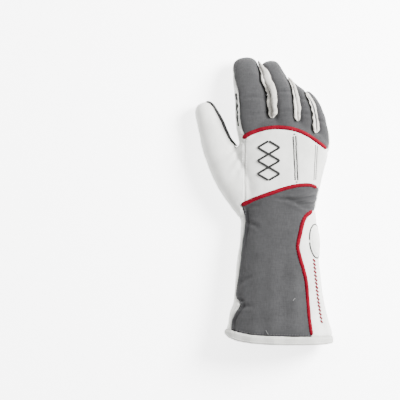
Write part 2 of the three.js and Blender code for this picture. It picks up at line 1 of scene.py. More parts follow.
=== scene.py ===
"""A right-hand racing glove with a gauntlet cuff, lying palm down on a pale floor.

The tables are in millimetres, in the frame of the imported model: +Y runs from the cuff's opening to
the fingertips, +Z is up through the back of the hand, and the little finger is on +X.
"""

import math

import bpy
import numpy as np
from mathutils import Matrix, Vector
from mathutils.bvhtree import BVHTree
from mathutils.kdtree import KDTree


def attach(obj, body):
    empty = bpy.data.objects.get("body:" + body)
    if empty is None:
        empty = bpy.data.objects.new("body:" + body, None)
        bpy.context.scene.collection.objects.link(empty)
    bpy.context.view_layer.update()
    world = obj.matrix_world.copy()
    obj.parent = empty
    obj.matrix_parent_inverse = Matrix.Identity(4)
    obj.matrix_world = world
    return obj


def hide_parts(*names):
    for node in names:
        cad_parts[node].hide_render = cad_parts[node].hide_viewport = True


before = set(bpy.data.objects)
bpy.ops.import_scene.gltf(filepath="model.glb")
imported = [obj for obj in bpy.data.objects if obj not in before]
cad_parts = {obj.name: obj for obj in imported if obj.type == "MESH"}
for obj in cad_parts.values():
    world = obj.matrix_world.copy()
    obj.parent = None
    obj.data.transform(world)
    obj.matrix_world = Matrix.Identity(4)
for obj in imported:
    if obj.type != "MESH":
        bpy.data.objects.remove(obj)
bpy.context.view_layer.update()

MM = 0.001
TINY = 1e-9


def table(columns, *rows):
    """Rows of numbers under named columns"""
    return [dict(zip(columns.split(), row)) for row in rows]


# The cloth: how thick it is, how far its edges are tucked in, and how far panels overlap in a seam
CLOTH = 1.7
HEM = dict(thickness=3.0, tuck=0.5, proud=0.9)
TUCK = 1.0
TUCKS = dict(hand_back_panel=0.4, thumb=0.4)
SEAM_OVERLAP = 0.45
UNDER_HEM = 1.0
SKIN_OFF_FLOOR = 0.15
CLOTH_OFF_FLOOR = 0.1
FLOOR_SOFTNESS = 2.2

# The cuff, wrist and hand: one row for each level from the opening to the knuckles
HAND = table(
    "y left right top bottom",
    (-161, -46, 76, 50, -4),
    (-150, -45.5, 75.5, 49, -4),
    (-138, -41, 71.5, 48, -4),
    (-126, -39, 68.5, 47, -4),
    (-113, -35, 66.5, 46, -4),
    (-90, -33.5, 62.7, 45, -4),
    (-68, -31.4, 60, 44, -4),
    (-46, -29, 59.5, 43, -4),
    (-25, -27, 58, 41, -4),
    (-10, -27.5, 56.5, 40, -4),
    (10, -27, 60.5, 40, -4),
    (30, -28, 65.2, 41, -2),
    (50, -33, 68.4, 42.5, 3),
    (58, -31.4, 69, 43, 5.6),
    (66, -25.4, 69.4, 43.5, 8),
    (80, -25, 70, 44, 12),
    (98, -21, 67, 42, 15),
)
CUFF_MOUTH = HAND[0]["y"]
KNUCKLE_END = HAND[-1]["y"]
KNUCKLE_DOME_FROM = 76
KNUCKLE_TAPER = 0.6
HAND_SQUARE = 2.35
HAND_LEAST = 0.4
BEFORE_MOUTH = 12

# The knuckles slope back towards the little finger
SLOPE = dict(start=20, end=90, from_x=8, reach=60, back=22, bend=1.6, most=1.2)

# Fingers and thumb: the centre line, half width and half depth, from inside the hand to the tip
FINGERS = {
    "index": table(
        "x y z width depth",
        (-10, 52, 22, 16, 12),
        (-13, 78, 28, 18.6, 13),
        (-14.8, 100, 29.5, 19, 12.6),
        (-17.4, 120, 26.5, 17.8, 12),
        (-20.6, 139, 20, 15.4, 11.2),
        (-23.6, 157.8, 11.5, 13, 10),
    ),
    "middle": table(
        "x y z width depth",
        (19, 52, 23, 13.8, 12),
        (21.6, 78, 30, 14.4, 13.4),
        (21.6, 100, 32, 14.6, 13),
        (17.4, 120, 29, 14, 12.4),
        (9.4, 137, 21.5, 13, 11.4),
        (3.2, 152.8, 12, 11.2, 10.2),
    ),
    "ring": table(
        "x y z width depth",
        (44, 48, 21, 12.6, 11.4),
        (45.6, 74, 27, 13, 12.6),
        (44, 96, 27.5, 12.6, 12.2),
        (36.8, 112, 22.5, 11.6, 11.4),
        (29.6, 119.8, 17.5, 11, 10.6),
        (17.6, 131, 11.5, 10, 9.6),
    ),
    "little": table(
        "x y z width depth",
        (57.5, 42, 19, 11, 10.4),
        (61, 66, 22, 11.2, 11),
        (58.2, 86, 21.5, 10.8, 10.8),
        (53, 101, 17, 10.2, 10.2),
        (47.4, 111.5, 12.4, 9.6, 9.4),
        (41.4, 118.8, 9.8, 8.8, 8.6),
    ),
    "thumb": table(
        "x y z width depth",
        (-14, -14, 18, 16, 14),
        (-28, 12, 19, 20.5, 16),
        (-41.4, 36.3, 18.5, 20.6, 16),
        (-48, 48.5, 17.5, 19, 15.4),
        (-54.2, 60.5, 16.5, 16.8, 14.6),
        (-61.7, 83, 14.5, 14.3, 13),
        (-66.3, 97, 13, 11.8, 11.8),
        (-68.8, 109, 12, 9.8, 10),
    ),
}
LONG_FINGERS = ("index", "middle", "ring", "little")
FINGER_SQUARE = 2.2
TIP_SQUARE = 2.8
TIP_ROUND = 1.1
TIP_LEAST = 0.03

# Seam lines as they are seen from above
KNUCKLE_LINE = [
    (-23.9, 69.2), (-17.2, 73.4), (-6, 77.4), (5, 79.5), (16.1, 80), (27.2, 78.8), (38.4, 75.6),
    (49.5, 69.9), (60.6, 62.3), (68.2, 56.4),
]
# The knuckle piping starts a little further down, over the side of the hand
KNUCKLE_START = (-25.4, 68)
WRIST_LINE = [
    (-27, -6.4), (-17.2, -1.9), (-6, 2.8), (5.1, 6.7), (16.2, 10.6), (27.3, 13.8), (38.4, 15.9),
    (49.6, 16.1), (58, 13.2),
]
SIDE_LINE = [
    (52.6, -12.6), (45.4, -18.2), (41.8, -25.1), (39.2, -35), (36.5, -47.3), (36, -55),
    (39, -67.3), (42.3, -78.4), (45.5, -92.9), (46.9, -111.8), (48.8, -134), (51.4, -152),
]
CUFF_LEFT_LINE = [
    (-26.9, -7.8), (-24, -16.2), (-23.2, -27.4), (-25.2, -40.9), (-27.7, -58.8), (-30.2, -82.3),
    (-32.5, -101.4), (-32.3, -109.2), (-28.2, -116.5), (-29.7, -120.4), (-34.2, -127.1),
    (-37.5, -135), (-38.6, -143.9), (-39.4, -152),
]
THUMB_LINE = [
    (-26, -20), (-26, -6), (-23.2, 0), (-23.2, 60), (-27.5, 68), (-35, 82), (-43, 102), (-50, 140),
]
FINGER_ROOT_LINE = [(-60, 70), (-20, 72), (30, 72), (52, 62), (90, 42)]
HAND_LEFT = -22.6
HEM_LINE = [
    (-60, -142), (-46, -143.8), (-37.5, -145.4), (-28, -148), (-14.6, -150.2), (5.6, -151.4),
    (28, -152), (51.5, -152.4), (76, -152.2), (90, -152),
]
MOUTH_LINE = [
    (-60, -147), (-46, -150.5), (-41.4, -154.4), (-30, -158.2), (-11.2, -160.8), (16.8, -162.2),
    (50.4, -162.4), (77, -161), (90, -160),
]
PIPING_LINES = (KNUCKLE_LINE, WRIST_LINE, SIDE_LINE)

# Where the gauntlet's underside ends, and the levels where two lines run off to the right, far out
UNDER_EDGE = -11
KNUCKLE_LINE_LEAVES = 36
WRIST_LINE_LEAVES = 4
FAR = 240

# Heights of the seams that run along the glove's sides, and the index finger's higher seam
KNUCKLE_SEAM_HEIGHT = 27
BACK_SEAM_HEIGHT = 26
CUFF_SEAM_HEIGHT = 23
SIDE_SEAM_HEIGHT = 11
INDEX_SEAM_RISE = 12
INDEX_SEAM_FADE = (0.6, 0.95)
SEAM_REACH = 30

# Where the seam round the finger backs follows each finger, and where it follows the hand instead
FINGER_BLEND = dict(size=0.9, spread=0.22, root=0.12, fade=0.2, least=1e-6)
HAND_BLEND = dict(y=72, fade=20, slope=0.2, slope_from_x=30, index_x=-8, index_fade=12)

# Gussets: the line of each gap between two fingers, with the half width over its two seams
GUSSETS = {
    "gusset_index_middle": table(
        "x y half",
        (7.4, 90.5, 3.9), (8.1, 100, 5.3), (7.6, 110.9, 5.6), (6.3, 122.1, 5.3),
        (1.6, 133.2, 5.6), (-0.9, 141.6, 4.3), (-3.4, 146.8, 3), (-5.6, 150.8, 2.1),
        (-7.6, 155.6, 1.2),
    ),
    "gusset_middle_ring": table(
        "x y half",
        (36.2, 87.2, 2.8), (35.5, 94.1, 3.6), (35.3, 105.3, 3.8), (34, 116.5, 3.4),
        (31.4, 127.2, 2.6), (28.2, 133.6, 1.9), (25.6, 137.2, 1.3),
    ),
    "gusset_ring_little": table(
        "x y half",
        (56.6, 74, 2.8), (56.4, 80, 3.9), (56.1, 88.6, 3.2), (54.5, 99.8, 2.9),
        (52, 108.7, 2.9), (47.4, 117.4, 2.1), (45.9, 120.4, 1.5),
    ),
}
GUSSET_STEP = 0.9
GUSSET_PROUD = 1.8
GUSSET_CLOTH = 2.0
GUSSET_FALL = 0.6
GUSSET_REACH = 1.5
GUSSET_ENDS = dict(before=0.4, rounding=1.3, after=0.2, taper=3, least=0.1)

# The fold between a gusset's lips: how deep it is, how far it lies off the middle, and its foot
GUSSET_FOLD = dict(
    most=6, least=2.2, by_half=1.2, above=0.6, off_middle=-0.42, shift=1.4,
    foot=4, foot_least=0.6, foot_half=0.7,
)

# A gusset's lips wave sideways and up. Their roll goes from the outer edge, 0, to the inner one, 1.
RUFFLE = dict(
    full_half=4, least=0.15, length=7, lean=0.6, shift=50, rise_length=5.5, rise=0.5, rise_shift=90,
    waves=12, first_seed=40, seeds_apart=3,
)
LIP_ROLL = [(0, -2.4), (0.03, -0.9), (0.2, -0.15), (0.5, 0), (0.8, -0.35), (1, -1.5)]
LIP_GAP = dict(most=0.3, by_half=0.2)

# The cloth beside a gusset is drawn in: on which side, how far from the lip, and how much
GUSSET_SIDES = [dict(side=1, beyond=0.7, drawn=1.0), dict(side=-1, beyond=0.5, drawn=0.55)]

# The web low between two fingers
WEB = dict(half=3.4, depth=5.5, below=2.5, share=0.8, ends=0.08, least=0.03, sides=24)

# Pipings: their cord, how deep it sits in its seam, and the small dents that its stitches make
PIPING = dict(
    radius=2.2, sunk=0.6, step=0.8, levelled=4, before_hem=0.4, ends=2.5, least=0.02,
    dent=0.035, dent_pitch=3.1, slack=0.03, slack_length=9, bulk=1.16, thinner=0.2,
)

# The oval pad over the wrist bone, the silicone marks on the index finger, the thumb's edging
PAD = dict(x=46, y=-46.5, z=20, long=18.6, wide=10.8, tilt=40, rings=26, sides=72)
PAD_CROWN = dict(height=2.6, flat=2.6, steep=0.6, lift=0.15, under=1.0, rim=0.4, stitch_lift=0.65)
PAD_SEAM = dict(radius=0.86, width=0.035, depth=0.5)
GRIP = dict(
    start=0.3, end=0.62, width=2.2, wave=0.6, waves=3, rise=6.8, rugged=0.35, rugged_length=4,
    swell=0.5, sway=0.25, ends=40, reach=1.6,
)
GRIP_RELIEF = dict(height=1.2, edge=0.7, search=3.0, least=0.25, thickness=0.9)
TRIM_LINE = [
    (-66.6, 109.2), (-61.6, 105.8), (-56, 100.2), (-51.5, 92.4), (-49, 85.7), (-45.6, 76.7),
    (-41.2, 67.8), (-35.8, 62.7), (-30.2, 60.5),
]
TRIM = dict(
    radius=2.0, above=5, proud=1.0, points=90, step=0.8, levelled=2, sides=10, slim=0.55,
    ends=4, least=0.03,
)

# Rows of stitches on the back of the hand, dashes down the side panel, and two loose threads
CHANNELS = [[(30.8, 71.6), (33.4, 20.4)], [(33.6, 72), (36.2, 20)]]
CHANNEL_ENDS = [[(30.2, 72.6), (34.2, 72.6)], [(32.8, 19.4), (36.8, 19.4)]]
FAINT_CHANNELS = [[(56, 62.6), (54.2, 20)], [(58, 61.4), (56.2, 20.6)]]
DIAMONDS = dict(x=3.6, y=43.2, half_width=12.4, half_height=7.3, count=3)
DASH_LINE = [(54.2, -68), (56.4, -90), (58.8, -112), (62.4, -136)]
DASH = dict(pitch=4.2, across=1.6, down=2)
EDGE_STITCHES_IN = 2.6
SHORTEST_ROW = 4
STITCH = dict(rings=5, sides=6, arch=0.32, sunk=0.18, pointed=0.7, step=0.5, levelled=3)
LOOSE_THREADS = [
    [(0.2, -145.2), (1.4, -147.4), (3, -149.6)],
    [(30.2, -112.8), (31.8, -110.6), (33, -110)],
]
LOOSE_THREAD = dict(radius=0.22, off=0.3, arch=0.5, points=14, sides=8)

# Soft folds in the cloth's upper side: where each starts and ends, its width and its depth
FOLDS = table(
    "start end width depth",
    ((60, 6), (10, 1), 1.8, 2.0),
    ((60, -3), (24, -1), 2.2, 2.2),
    ((57, -9), (34, -6), 1.8, 1.3),
    ((-25, -12), (-6, -6), 2.2, 0.9),
    ((-25, -24), (-4, -34), 2.6, 0.8),
    ((-30, -96), (-14, -84), 2.4, 0.8),
    ((-34, -117), (-22, -112), 1.8, 1.2),
    ((-33, -122), (-12, -118), 2.4, 0.9),
    ((-24, 92), (4, 96), 1.8, 0.6),
    ((-26, 112), (-2, 114), 2.0, 0.6),
    ((10, 96), (34, 98), 1.8, 0.6),
    ((8, 118), (31, 120), 1.8, 0.6),
    ((36, 96), (56, 92), 1.8, 0.6),
    ((33, 112), (50, 110), 1.6, 0.5),
    ((56, 90), (69, 84), 1.6, 0.6),
    ((-26, 62), (-44, 52), 2.4, 1.2),
    ((-26, 54), (-40, 40), 2.6, 1.1),
    ((-25, 44), (-36, 26), 2.6, 0.9),
)
FOLD_SHAPE = dict(bow=0.06, fade=0.8, shoulder=0.45)

# The turned fold down the cuff's left side, drawn in hardest at two levels, with painted shade there
CINCH_LEVELS = (-26, -130)
CINCH = dict(beside=4.2, width=1.3, least=0.2, more=0.8, spreads=(26, 20))
CINCH_SHADE = dict(beside=2.0, width=1.9, most=0.8, spreads=(22, 18))

# How hard seams and channels draw the cloth in, and how much painted shade they put on it
DRAWN = dict(gusset_width=1.8, channel_width=1.0, channel=0.6, faint_channel=0.35, depth=0.9)
SHADE = dict(seam=2.4, piping=6, valley=0.3, below=0.15, full_height=20, steps=40)

# Slack: soft random bumps over all the cloth, and longer ones down the cuff
SLACK = [dict(height=0.45, length=42, seed=3), dict(height=0.16, length=15, seed=4)]
CUFF_SLACK = dict(height=0.55, length=20, seed=5, stretch=(1, 4, 1), below_y=-4, fade=30)

# Creases: random ones, deepest on the palm side, and two across the front of each finger
CREASE = dict(length=26, seed=6, width=0.16, depth=0.5, above=0.15)
FINGER_CREASE = dict(shares=(0.5, 0.74), width=0.022, depth=0.9, size=1.5, size_fade=0.4, top=2, fade=8)
FACING = dict(start=0.05, fade=0.35)

# A panel's edge: how wide it turns under and puckers, and how its cut is rounded
EDGE = dict(search=14.0, turn=1.7, pucker=0.22, pucker_length=7, pucker_fade=4)
RIM = dict(reach=1.6, rounds=3, strength=0.5)

# The stage, in metres: the camera's place over the floor, the lamps, and the floor's own faint glow
CAMERA = dict(
    over=(-0.0728, -0.0006), distance=3.0, above_floor=0.02, frame_width=0.448, sensor=36.0, far=20,
)
ROOM_LIGHT = 1.4
LAMPS = [
    dict(name="key", at=(1.0, 0.5, 0.85), size=0.7, power=150),
    dict(name="fill", at=(-0.9, 0.1, 1.0), size=1.0, power=8),
]
FLOOR_HALF = 6.0
FLOOR_GLOW = 3.0

# How finely things are meshed
VOXEL = 1.2
HAND_SIDES = 140
HAND_RINGS = 150
HAND_CROWDING = 1.3
FINGER_SIDES = 64
FINGER_RINGS = 80
FINGER_CROWDING = 0.9
FINGER_STATIONS = 140
CURVE_STEPS = 400
LINE_STEPS = 60
LONG_LINE_STEPS = 200
BATCH = 20000


# Curves and smooth shapes


def beside(line, amount):
    """A line moved sideways, to the left of its own direction"""
    forward = unit(np.gradient(line, axis=0))
    return line + np.stack([-forward[:, 1], forward[:, 0]], 1) * np.reshape(amount, (-1, 1))


def curve_through(keys, values, at):
    """Values on a smooth curve through a table's rows, at places between the first and the last"""
    last = len(keys) - 1
    before = np.maximum(np.arange(last + 1) - 1, 0)
    after = np.minimum(np.arange(last + 1) + 1, last)
    slopes = (values[after] - values[before]) / (keys[after] - keys[before])
    place = np.clip(at, keys[0], keys[last])
    i = np.clip(np.searchsorted(keys, place, side="right") - 1, 0, last - 1)
    step = keys[i + 1] - keys[i]
    t = (place - keys[i]) / step
    bend = slopes[i] * (1 - t) ** 2 * t - slopes[i + 1] * (1 - t) * t**2
    return values[i] + (values[i + 1] - values[i]) * ease(t) + step * bend


def ease(t):
    """A smooth rise from 0 to 1"""
    t = np.clip(t, 0, 1)
    return t * t * (3 - 2 * t)


def along(rows, column, key, at):
    """One column of a table at places along another"""
    keys = np.array([row[key] for row in rows], float)
    values = np.array([row[column] for row in rows], float)
    return curve_through(keys, values, at)


def smooth(line, count=LINE_STEPS):
    """A smooth line through points, as so many steps"""
    points = np.array(line, float)
    keys = np.arange(len(points), dtype=float)
    at = np.linspace(0, keys[-1], count + 1)
    return np.stack([curve_through(keys, axis, at) for axis in points.T], 1)


def run_along(line):
    """How far along a line each of its points lies"""
    return np.concatenate([[0], np.cumsum(np.linalg.norm(np.diff(line, axis=0), axis=1))])


def sampled(line, run, at):
    """Points or directions at places along a line"""
    return np.stack([np.interp(at, run, axis) for axis in line.T], 1)


def bell(values, width):
    """A smooth hump: 1 at zero, and almost gone at twice its width"""
    return np.exp(-((values / width) ** 2))


def round_turn(count):
    """Even angles once round"""
    return np.linspace(0, 2 * math.pi, count, endpoint=False)


def tapered(run, ends, least):
    """How full a strip is along its length, where both of its ends are rounded off"""
    return np.sqrt(np.clip(np.minimum(run, run[-1] - run) / ends, least, 1))


def unit(vectors):
    """Vectors of length one"""
    return vectors / np.maximum(np.linalg.norm(vectors, axis=-1, keepdims=True), TINY)


def ripple(points, length, seed, stretch=(1, 1, 1), waves=20):
    """A smooth random field, mostly from -1 to 1, whose bumps are about so long"""
    chance = np.random.default_rng(seed)
    directions = unit(chance.normal(size=(waves, 3)))
    pace = 2 * math.pi / length * chance.uniform(0.5, 1.3, waves)
    phases = (points / np.array(stretch)) @ (directions * pace[:, None]).T
    return np.sin(phases + chance.uniform(0, 2 * math.pi, waves)).sum(1) * math.sqrt(2 / waves) / 1.6


def oval(angle, square):
    """The two parts of a rounded oval's outline at an angle, each from -1 to 1"""
    across, through = np.cos(angle), np.sin(angle)
    return (
        np.sign(across) * np.abs(across) ** (2 / square),
        np.sign(through) * np.abs(through) ** (2 / square),
    )


# Closed bodies of the hand, the fingers and what joins them


def hand_points(y, angle):
    """Points of the hand's skin: angle 0 is the little-finger edge, a right angle the back"""
    left, right, top, bottom = (
        along(HAND, name, "y", y) for name in ("left", "right", "top", "bottom")
    )
    end = np.clip((y - KNUCKLE_DOME_FROM) / (KNUCKLE_END - KNUCKLE_DOME_FROM), 0, 1)
    close = np.sqrt(1 - end**3)
    across, through = oval(angle, HAND_SQUARE)
    x = (left + right) / 2 + (right - left) / 2 * (1 - KNUCKLE_TAPER * (1 - close)) * across
    outer = np.clip((x - SLOPE["from_x"]) / SLOPE["reach"], 0, SLOPE["most"]) ** SLOPE["bend"]
    ramp = ease((y - SLOPE["start"]) / (SLOPE["end"] - SLOPE["start"]))
    z = (top + bottom) / 2 + np.maximum(HAND_LEAST, (top - bottom) / 2 * close) * through
    return np.stack([x, y - SLOPE["back"] * outer * ramp, z], -1)


def finger_frames(rows, share):
    """A finger's middle, sideways, upward and forward directions and half sizes along its length"""
    stations = np.array([(row["x"], row["y"], row["z"]) for row in rows], float)
    spans = np.linalg.norm(np.diff(stations, axis=0), axis=1) ** 0.5
    keys = np.concatenate([[0], np.cumsum(spans)])
    fine = np.linspace(0, keys[-1], CURVE_STEPS)
    line = np.stack([curve_through(keys, axis, fine) for axis in stations.T], 1)
    run = run_along(line)
    length = run[-1]
    middle = sampled(line, run, share * length)
    forward = unit(sampled(np.gradient(line, run, axis=0), run, share * length))
    side = unit(np.stack([forward[:, 1], -forward[:, 0], np.zeros(len(share))], 1))
    up = np.cross(side, forward)
    start = 1 - rows[-1]["depth"] * TIP_ROUND / length
    t = np.clip((share - start) / (1 - start), 0, 1)
    close = (1 - t**TIP_SQUARE) ** (1 / TIP_SQUARE)
    width = along(rows, "width", "y", middle[:, 1])
    depth = along(rows, "depth", "y", middle[:, 1])
    return dict(
        middle=middle, side=side, up=up, forward=forward,
        width=width, depth=depth, close=np.maximum(close, TIP_LEAST),
    )


def loft_faces(rings, sides):
    """Faces of a closed body of rings, as triangles, with fans over both ends"""
    ring, i = np.meshgrid(np.arange(rings - 1), np.arange(sides), indexing="ij")
    a = (ring * sides + i).ravel()
    b = (ring * sides + (i + 1) % sides).ravel()
    walls = [np.stack([a, b, b + sides], 1), np.stack([a, b + sides, a + sides], 1)]
    first, turn = np.arange(sides), (np.arange(sides) + 1) % sides
    low, high = rings * sides, rings * sides + 1
    top = (rings - 1) * sides
    caps = [
        np.stack([turn, first, np.full(sides, low)], 1),
        np.stack([first + top, turn + top, np.full(sides, high)], 1),
    ]
    return np.concatenate(walls + caps)


def loft(rings):
    """A closed body through rings of points, an array of rings, sides and three coordinates"""
    count, sides = rings.shape[:2]
    ends = np.stack([rings[0].mean(0), rings[-1].mean(0)])
    points = np.concatenate([rings.reshape(-1, 3), ends])
    return points, outward(points, loft_faces(count, sides))


def outward(points, faces):
    """The faces of a closed body, turned so that they face out of it"""
    a, b, c = (points[faces[:, k]] for k in range(3))
    volume = np.einsum("ij,ij->i", a, np.cross(b, c)).sum()
    return faces if volume > 0 else faces[:, ::-1]


def hand_body():
    """The hand and cuff as one closed body, which starts a little before the cuff's mouth"""
    turns = round_turn(HAND_SIDES)
    span = 1 - (1 - np.linspace(0, 1, HAND_RINGS)) ** HAND_CROWDING
    start = CUFF_MOUTH - BEFORE_MOUTH
    levels = start + (KNUCKLE_END - start) * span
    y, angle = np.meshgrid(levels, turns, indexing="ij")
    return loft(hand_points(y, angle))


def finger_body(rows):
    """A whole finger, rounded at its tip"""
    share = np.sin(math.pi / 2 * np.linspace(0, 1, FINGER_RINGS)) ** FINGER_CROWDING
    at = finger_frames(rows, share)
    turns = round_turn(FINGER_SIDES)
    across, through = oval(turns, FINGER_SQUARE)
    width = (at["width"] * at["close"])[:, None, None]
    depth = (at["depth"] * at["close"])[:, None, None]
    return loft(
        at["middle"][:, None] + at["side"][:, None] * across[None, :, None] * width
        + at["up"][:, None] * through[None, :, None] * depth
    )


def web_body(rows, left, right):
    """The cloth low between two fingers, which holds their sides together under the gusset"""
    line = smooth([(row["x"], row["y"]) for row in rows])
    line = line[line[:, 1] < line[0, 1] + WEB["share"] * (line[-1, 1] - line[0, 1])]
    heights = np.minimum(*(along(FINGERS[name], "z", "y", line[:, 1]) for name in (left, right)))
    forward = unit(np.gradient(line, axis=0))
    size = tapered(np.linspace(0, 1, len(line)), WEB["ends"], WEB["least"])[:, None]
    turns = round_turn(WEB["sides"])
    across = size * WEB["half"] * np.cos(turns)
    x = line[:, :1] + forward[:, 1:] * across
    y = line[:, 1:] - forward[:, :1] * across
    z = heights[:, None] - WEB["below"] + size * WEB["depth"] * np.sin(turns)
    return loft(np.stack([x, y, z], 2))


def joined(bodies):
    """Several meshes as one"""
    starts = np.cumsum([0] + [len(points) for points, _ in bodies[:-1]])
    points = np.concatenate([points for points, _ in bodies])
    return points, np.concatenate([faces + start for (_, faces), start in zip(bodies, starts)])


# Meshes


def mesh_of(name, points, faces):
    """A Blender mesh from points in millimetres"""
    mesh = bpy.data.meshes.new(name)
    mesh.from_pydata((points * MM).tolist(), [], faces.tolist())
    mesh.update()
    return mesh


def arrays_of(mesh):
    """A Blender mesh's points in millimetres, and its triangles"""
    points = np.empty(len(mesh.vertices) * 3)
    mesh.vertices.foreach_get("co", points)
    mesh.calc_loop_triangles()
    faces = np.empty(len(mesh.loop_triangles) * 3, int)
    mesh.loop_triangles.foreach_get("vertices", faces)
    return points.reshape(-1, 3) / MM, faces.reshape(-1, 3)


def fused(bodies):
    """One skin around bodies that run into each other"""
    blank = bpy.data.objects.new("blank", mesh_of("blank", *joined(bodies)))
    bpy.context.scene.collection.objects.link(blank)
    remesh = blank.modifiers.new("skin", "REMESH")
    remesh.mode = "VOXEL"
    remesh.voxel_size = VOXEL * MM
    evaluated = blank.evaluated_get(bpy.context.evaluated_depsgraph_get())
    mesh = bpy.data.meshes.new_from_object(evaluated)
    bpy.data.objects.remove(blank)
    return arrays_of(mesh)


def normals_of(points, faces):
    """The outward direction at each point"""
    a, b, c = (points[faces[:, k]] for k in range(3))
    flat = np.cross(b - a, c - a)
    corners = faces.ravel()
    sums = [
        np.bincount(corners, np.repeat(flat[:, axis], 3), minlength=len(points)) for axis in range(3)
    ]
    return unit(np.stack(sums, 1))


def sides_of(faces):
    """The three sides of every face, each running as its face does"""
    return np.concatenate([faces[:, [0, 1]], faces[:, [1, 2]], faces[:, [2, 0]]])


def edges_of(faces):
    """Each edge of a mesh once, as two columns of points"""
    return np.unique(np.sort(sides_of(faces), 1), axis=0)


def relaxed(points, faces, rounds, strength=0.5):
    """Points moved towards the middle of their neighbours, by one strength or one for each point"""
    a, b = edges_of(faces).T
    count = np.bincount(a, minlength=len(points)) + np.bincount(b, minlength=len(points))
    count = np.maximum(count, 1)[:, None]
    share = np.broadcast_to(strength, len(points))[:, None]
    for _ in range(rounds):
        near = np.stack([
            np.bincount(a, points[b, axis], minlength=len(points))
            + np.bincount(b, points[a, axis], minlength=len(points))
            for axis in range(points.shape[1])
        ], 1)
        points = points + share * (near / count - points)
    return points


def stretch_distance(start, end, plan):
    """How far points lie from one straight stretch"""
    reach = end - start
    t = np.clip((plan - start) @ reach / max(reach @ reach, TINY), 0, 1)
    return np.linalg.norm(plan - start - t[:, None] * reach, axis=1)


def polygon_depth(outline, plan):
    """How far points lie inside an outline, or outside it as negative numbers"""
    starts = np.array(outline, float)
    ends = np.roll(starts, -1, axis=0)
    nearest = np.full(len(plan), np.inf)
    inside = np.zeros(len(plan), bool)
    for start, end in zip(starts, ends):
        nearest = np.minimum(nearest, stretch_distance(start, end, plan))
        crossed = (start[1] > plan[:, 1]) != (end[1] > plan[:, 1])
        wide, tall = end - start
        crossing = start[0] + (plan[:, 1] - start[1]) * wide / (tall or TINY)
        inside ^= crossed & (plan[:, 0] < crossing)
    return np.where(inside, nearest, -nearest)


def line_distance(line, plan):
    """How far points lie from a line seen from above"""
    line = np.array(line, float)
    return np.min([stretch_distance(*ends, plan) for ends in zip(line[:-1], line[1:])], axis=0)


def cut(points, faces, values):
    """The part of a mesh where values are above zero, cut cleanly along the line where they are zero"""
    above = values >= 0
    count = above[faces].sum(1)
    kept = [faces[count == 3]]
    turned = []
    for amount in (1, 2):
        crossing = faces[count == amount]
        odd = above[crossing] if amount == 1 else ~above[crossing]
        first = odd.argmax(1)
        order = (first[:, None] + np.arange(3)) % 3
        turned.append(np.take_along_axis(crossing, order, 1))
    one, two = turned
    ends = np.concatenate([one[:, [0, 1]], one[:, [0, 2]], two[:, [1, 0]], two[:, [2, 0]]])
    unique, where = np.unique(ends, axis=0, return_inverse=True)
    where = where.ravel()
    inner, outer = values[unique[:, 0]], values[unique[:, 1]]
    t = (inner / (inner - outer))[:, None]
    fresh = points[unique[:, 0]] * (1 - t) + points[unique[:, 1]] * t
    new = len(points) + where
    m, n = len(one), len(two)
    ab, ac, ba, ca = new[:m], new[m:2 * m], new[2 * m:2 * m + n], new[2 * m + n:]
    kept.append(np.stack([one[:, 0], ab, ac], 1))
    kept.append(np.stack([two[:, 1], two[:, 2], ca], 1))
    kept.append(np.stack([two[:, 1], ca, ba], 1))
    return tidied(np.concatenate([points, fresh]), np.concatenate(kept))


def tidied(points, faces):
    """A mesh without the points that no face uses"""
    used, where = np.unique(faces, return_inverse=True)
    return points[used], where.reshape(faces.shape)


def largest(points, faces):
    """The largest connected part of a mesh"""
    label = np.arange(len(points))
    a, b = edges_of(faces).T
    while True:
        low = label.copy()
        np.minimum.at(low, a, label[b])
        np.minimum.at(low, b, label[a])
        low = low[low]
        if (low == label).all():
            break
        label = low
    names, sizes = np.unique(label[faces[:, 0]], return_counts=True)
    return tidied(points, faces[label[faces[:, 0]] == names[sizes.argmax()]])


def rim_of(faces):
    """The edges along a mesh's open boundary, each running as its face does"""
    pairs = sides_of(faces)
    _, where, count = np.unique(
        np.sort(pairs, 1), axis=0, return_inverse=True, return_counts=True
    )
    return pairs[count[where.ravel()] == 1]


def distance_to(targets, points, reach):
    """How far each point lies from the nearest target, up to a reach"""
    tree = KDTree(len(targets))
    for i, target in enumerate(targets):
        tree.insert(target, i)
    tree.balance()
    low, high = targets.min(0) - reach, targets.max(0) + reach
    close = ((points > low) & (points < high)).all(1)
    found = np.full(len(points), float(reach))
    found[close] = [min(reach, tree.find(point)[2]) for point in points[close]]
    return found


def thickened(points, faces, thickness):
    """A closed sheet: the mesh, the same again further in, and a rim between them"""
    normals = normals_of(points, faces)
    inside = relaxed(points - normals * thickness, faces, 2, 0.3)
    count = len(points)
    rim = rim_of(faces)
    walls = np.concatenate([
        np.stack([rim[:, 1], rim[:, 0], rim[:, 0] + count], 1),
        np.stack([rim[:, 1], rim[:, 0] + count, rim[:, 1] + count], 1),
    ])
    return np.concatenate([points, inside]), np.concatenate([faces, faces[:, ::-1] + count, walls])


# The skin of the whole glove, before it is cut into panels


def resting(points):
    """Points laid softly on the floor, with the cloth below it pressed up"""
    height = points[:, 2]
    pressed = (height + np.sqrt(height**2 + FLOOR_SOFTNESS)) / 2
    return np.stack([points[:, 0], points[:, 1], pressed], 1)


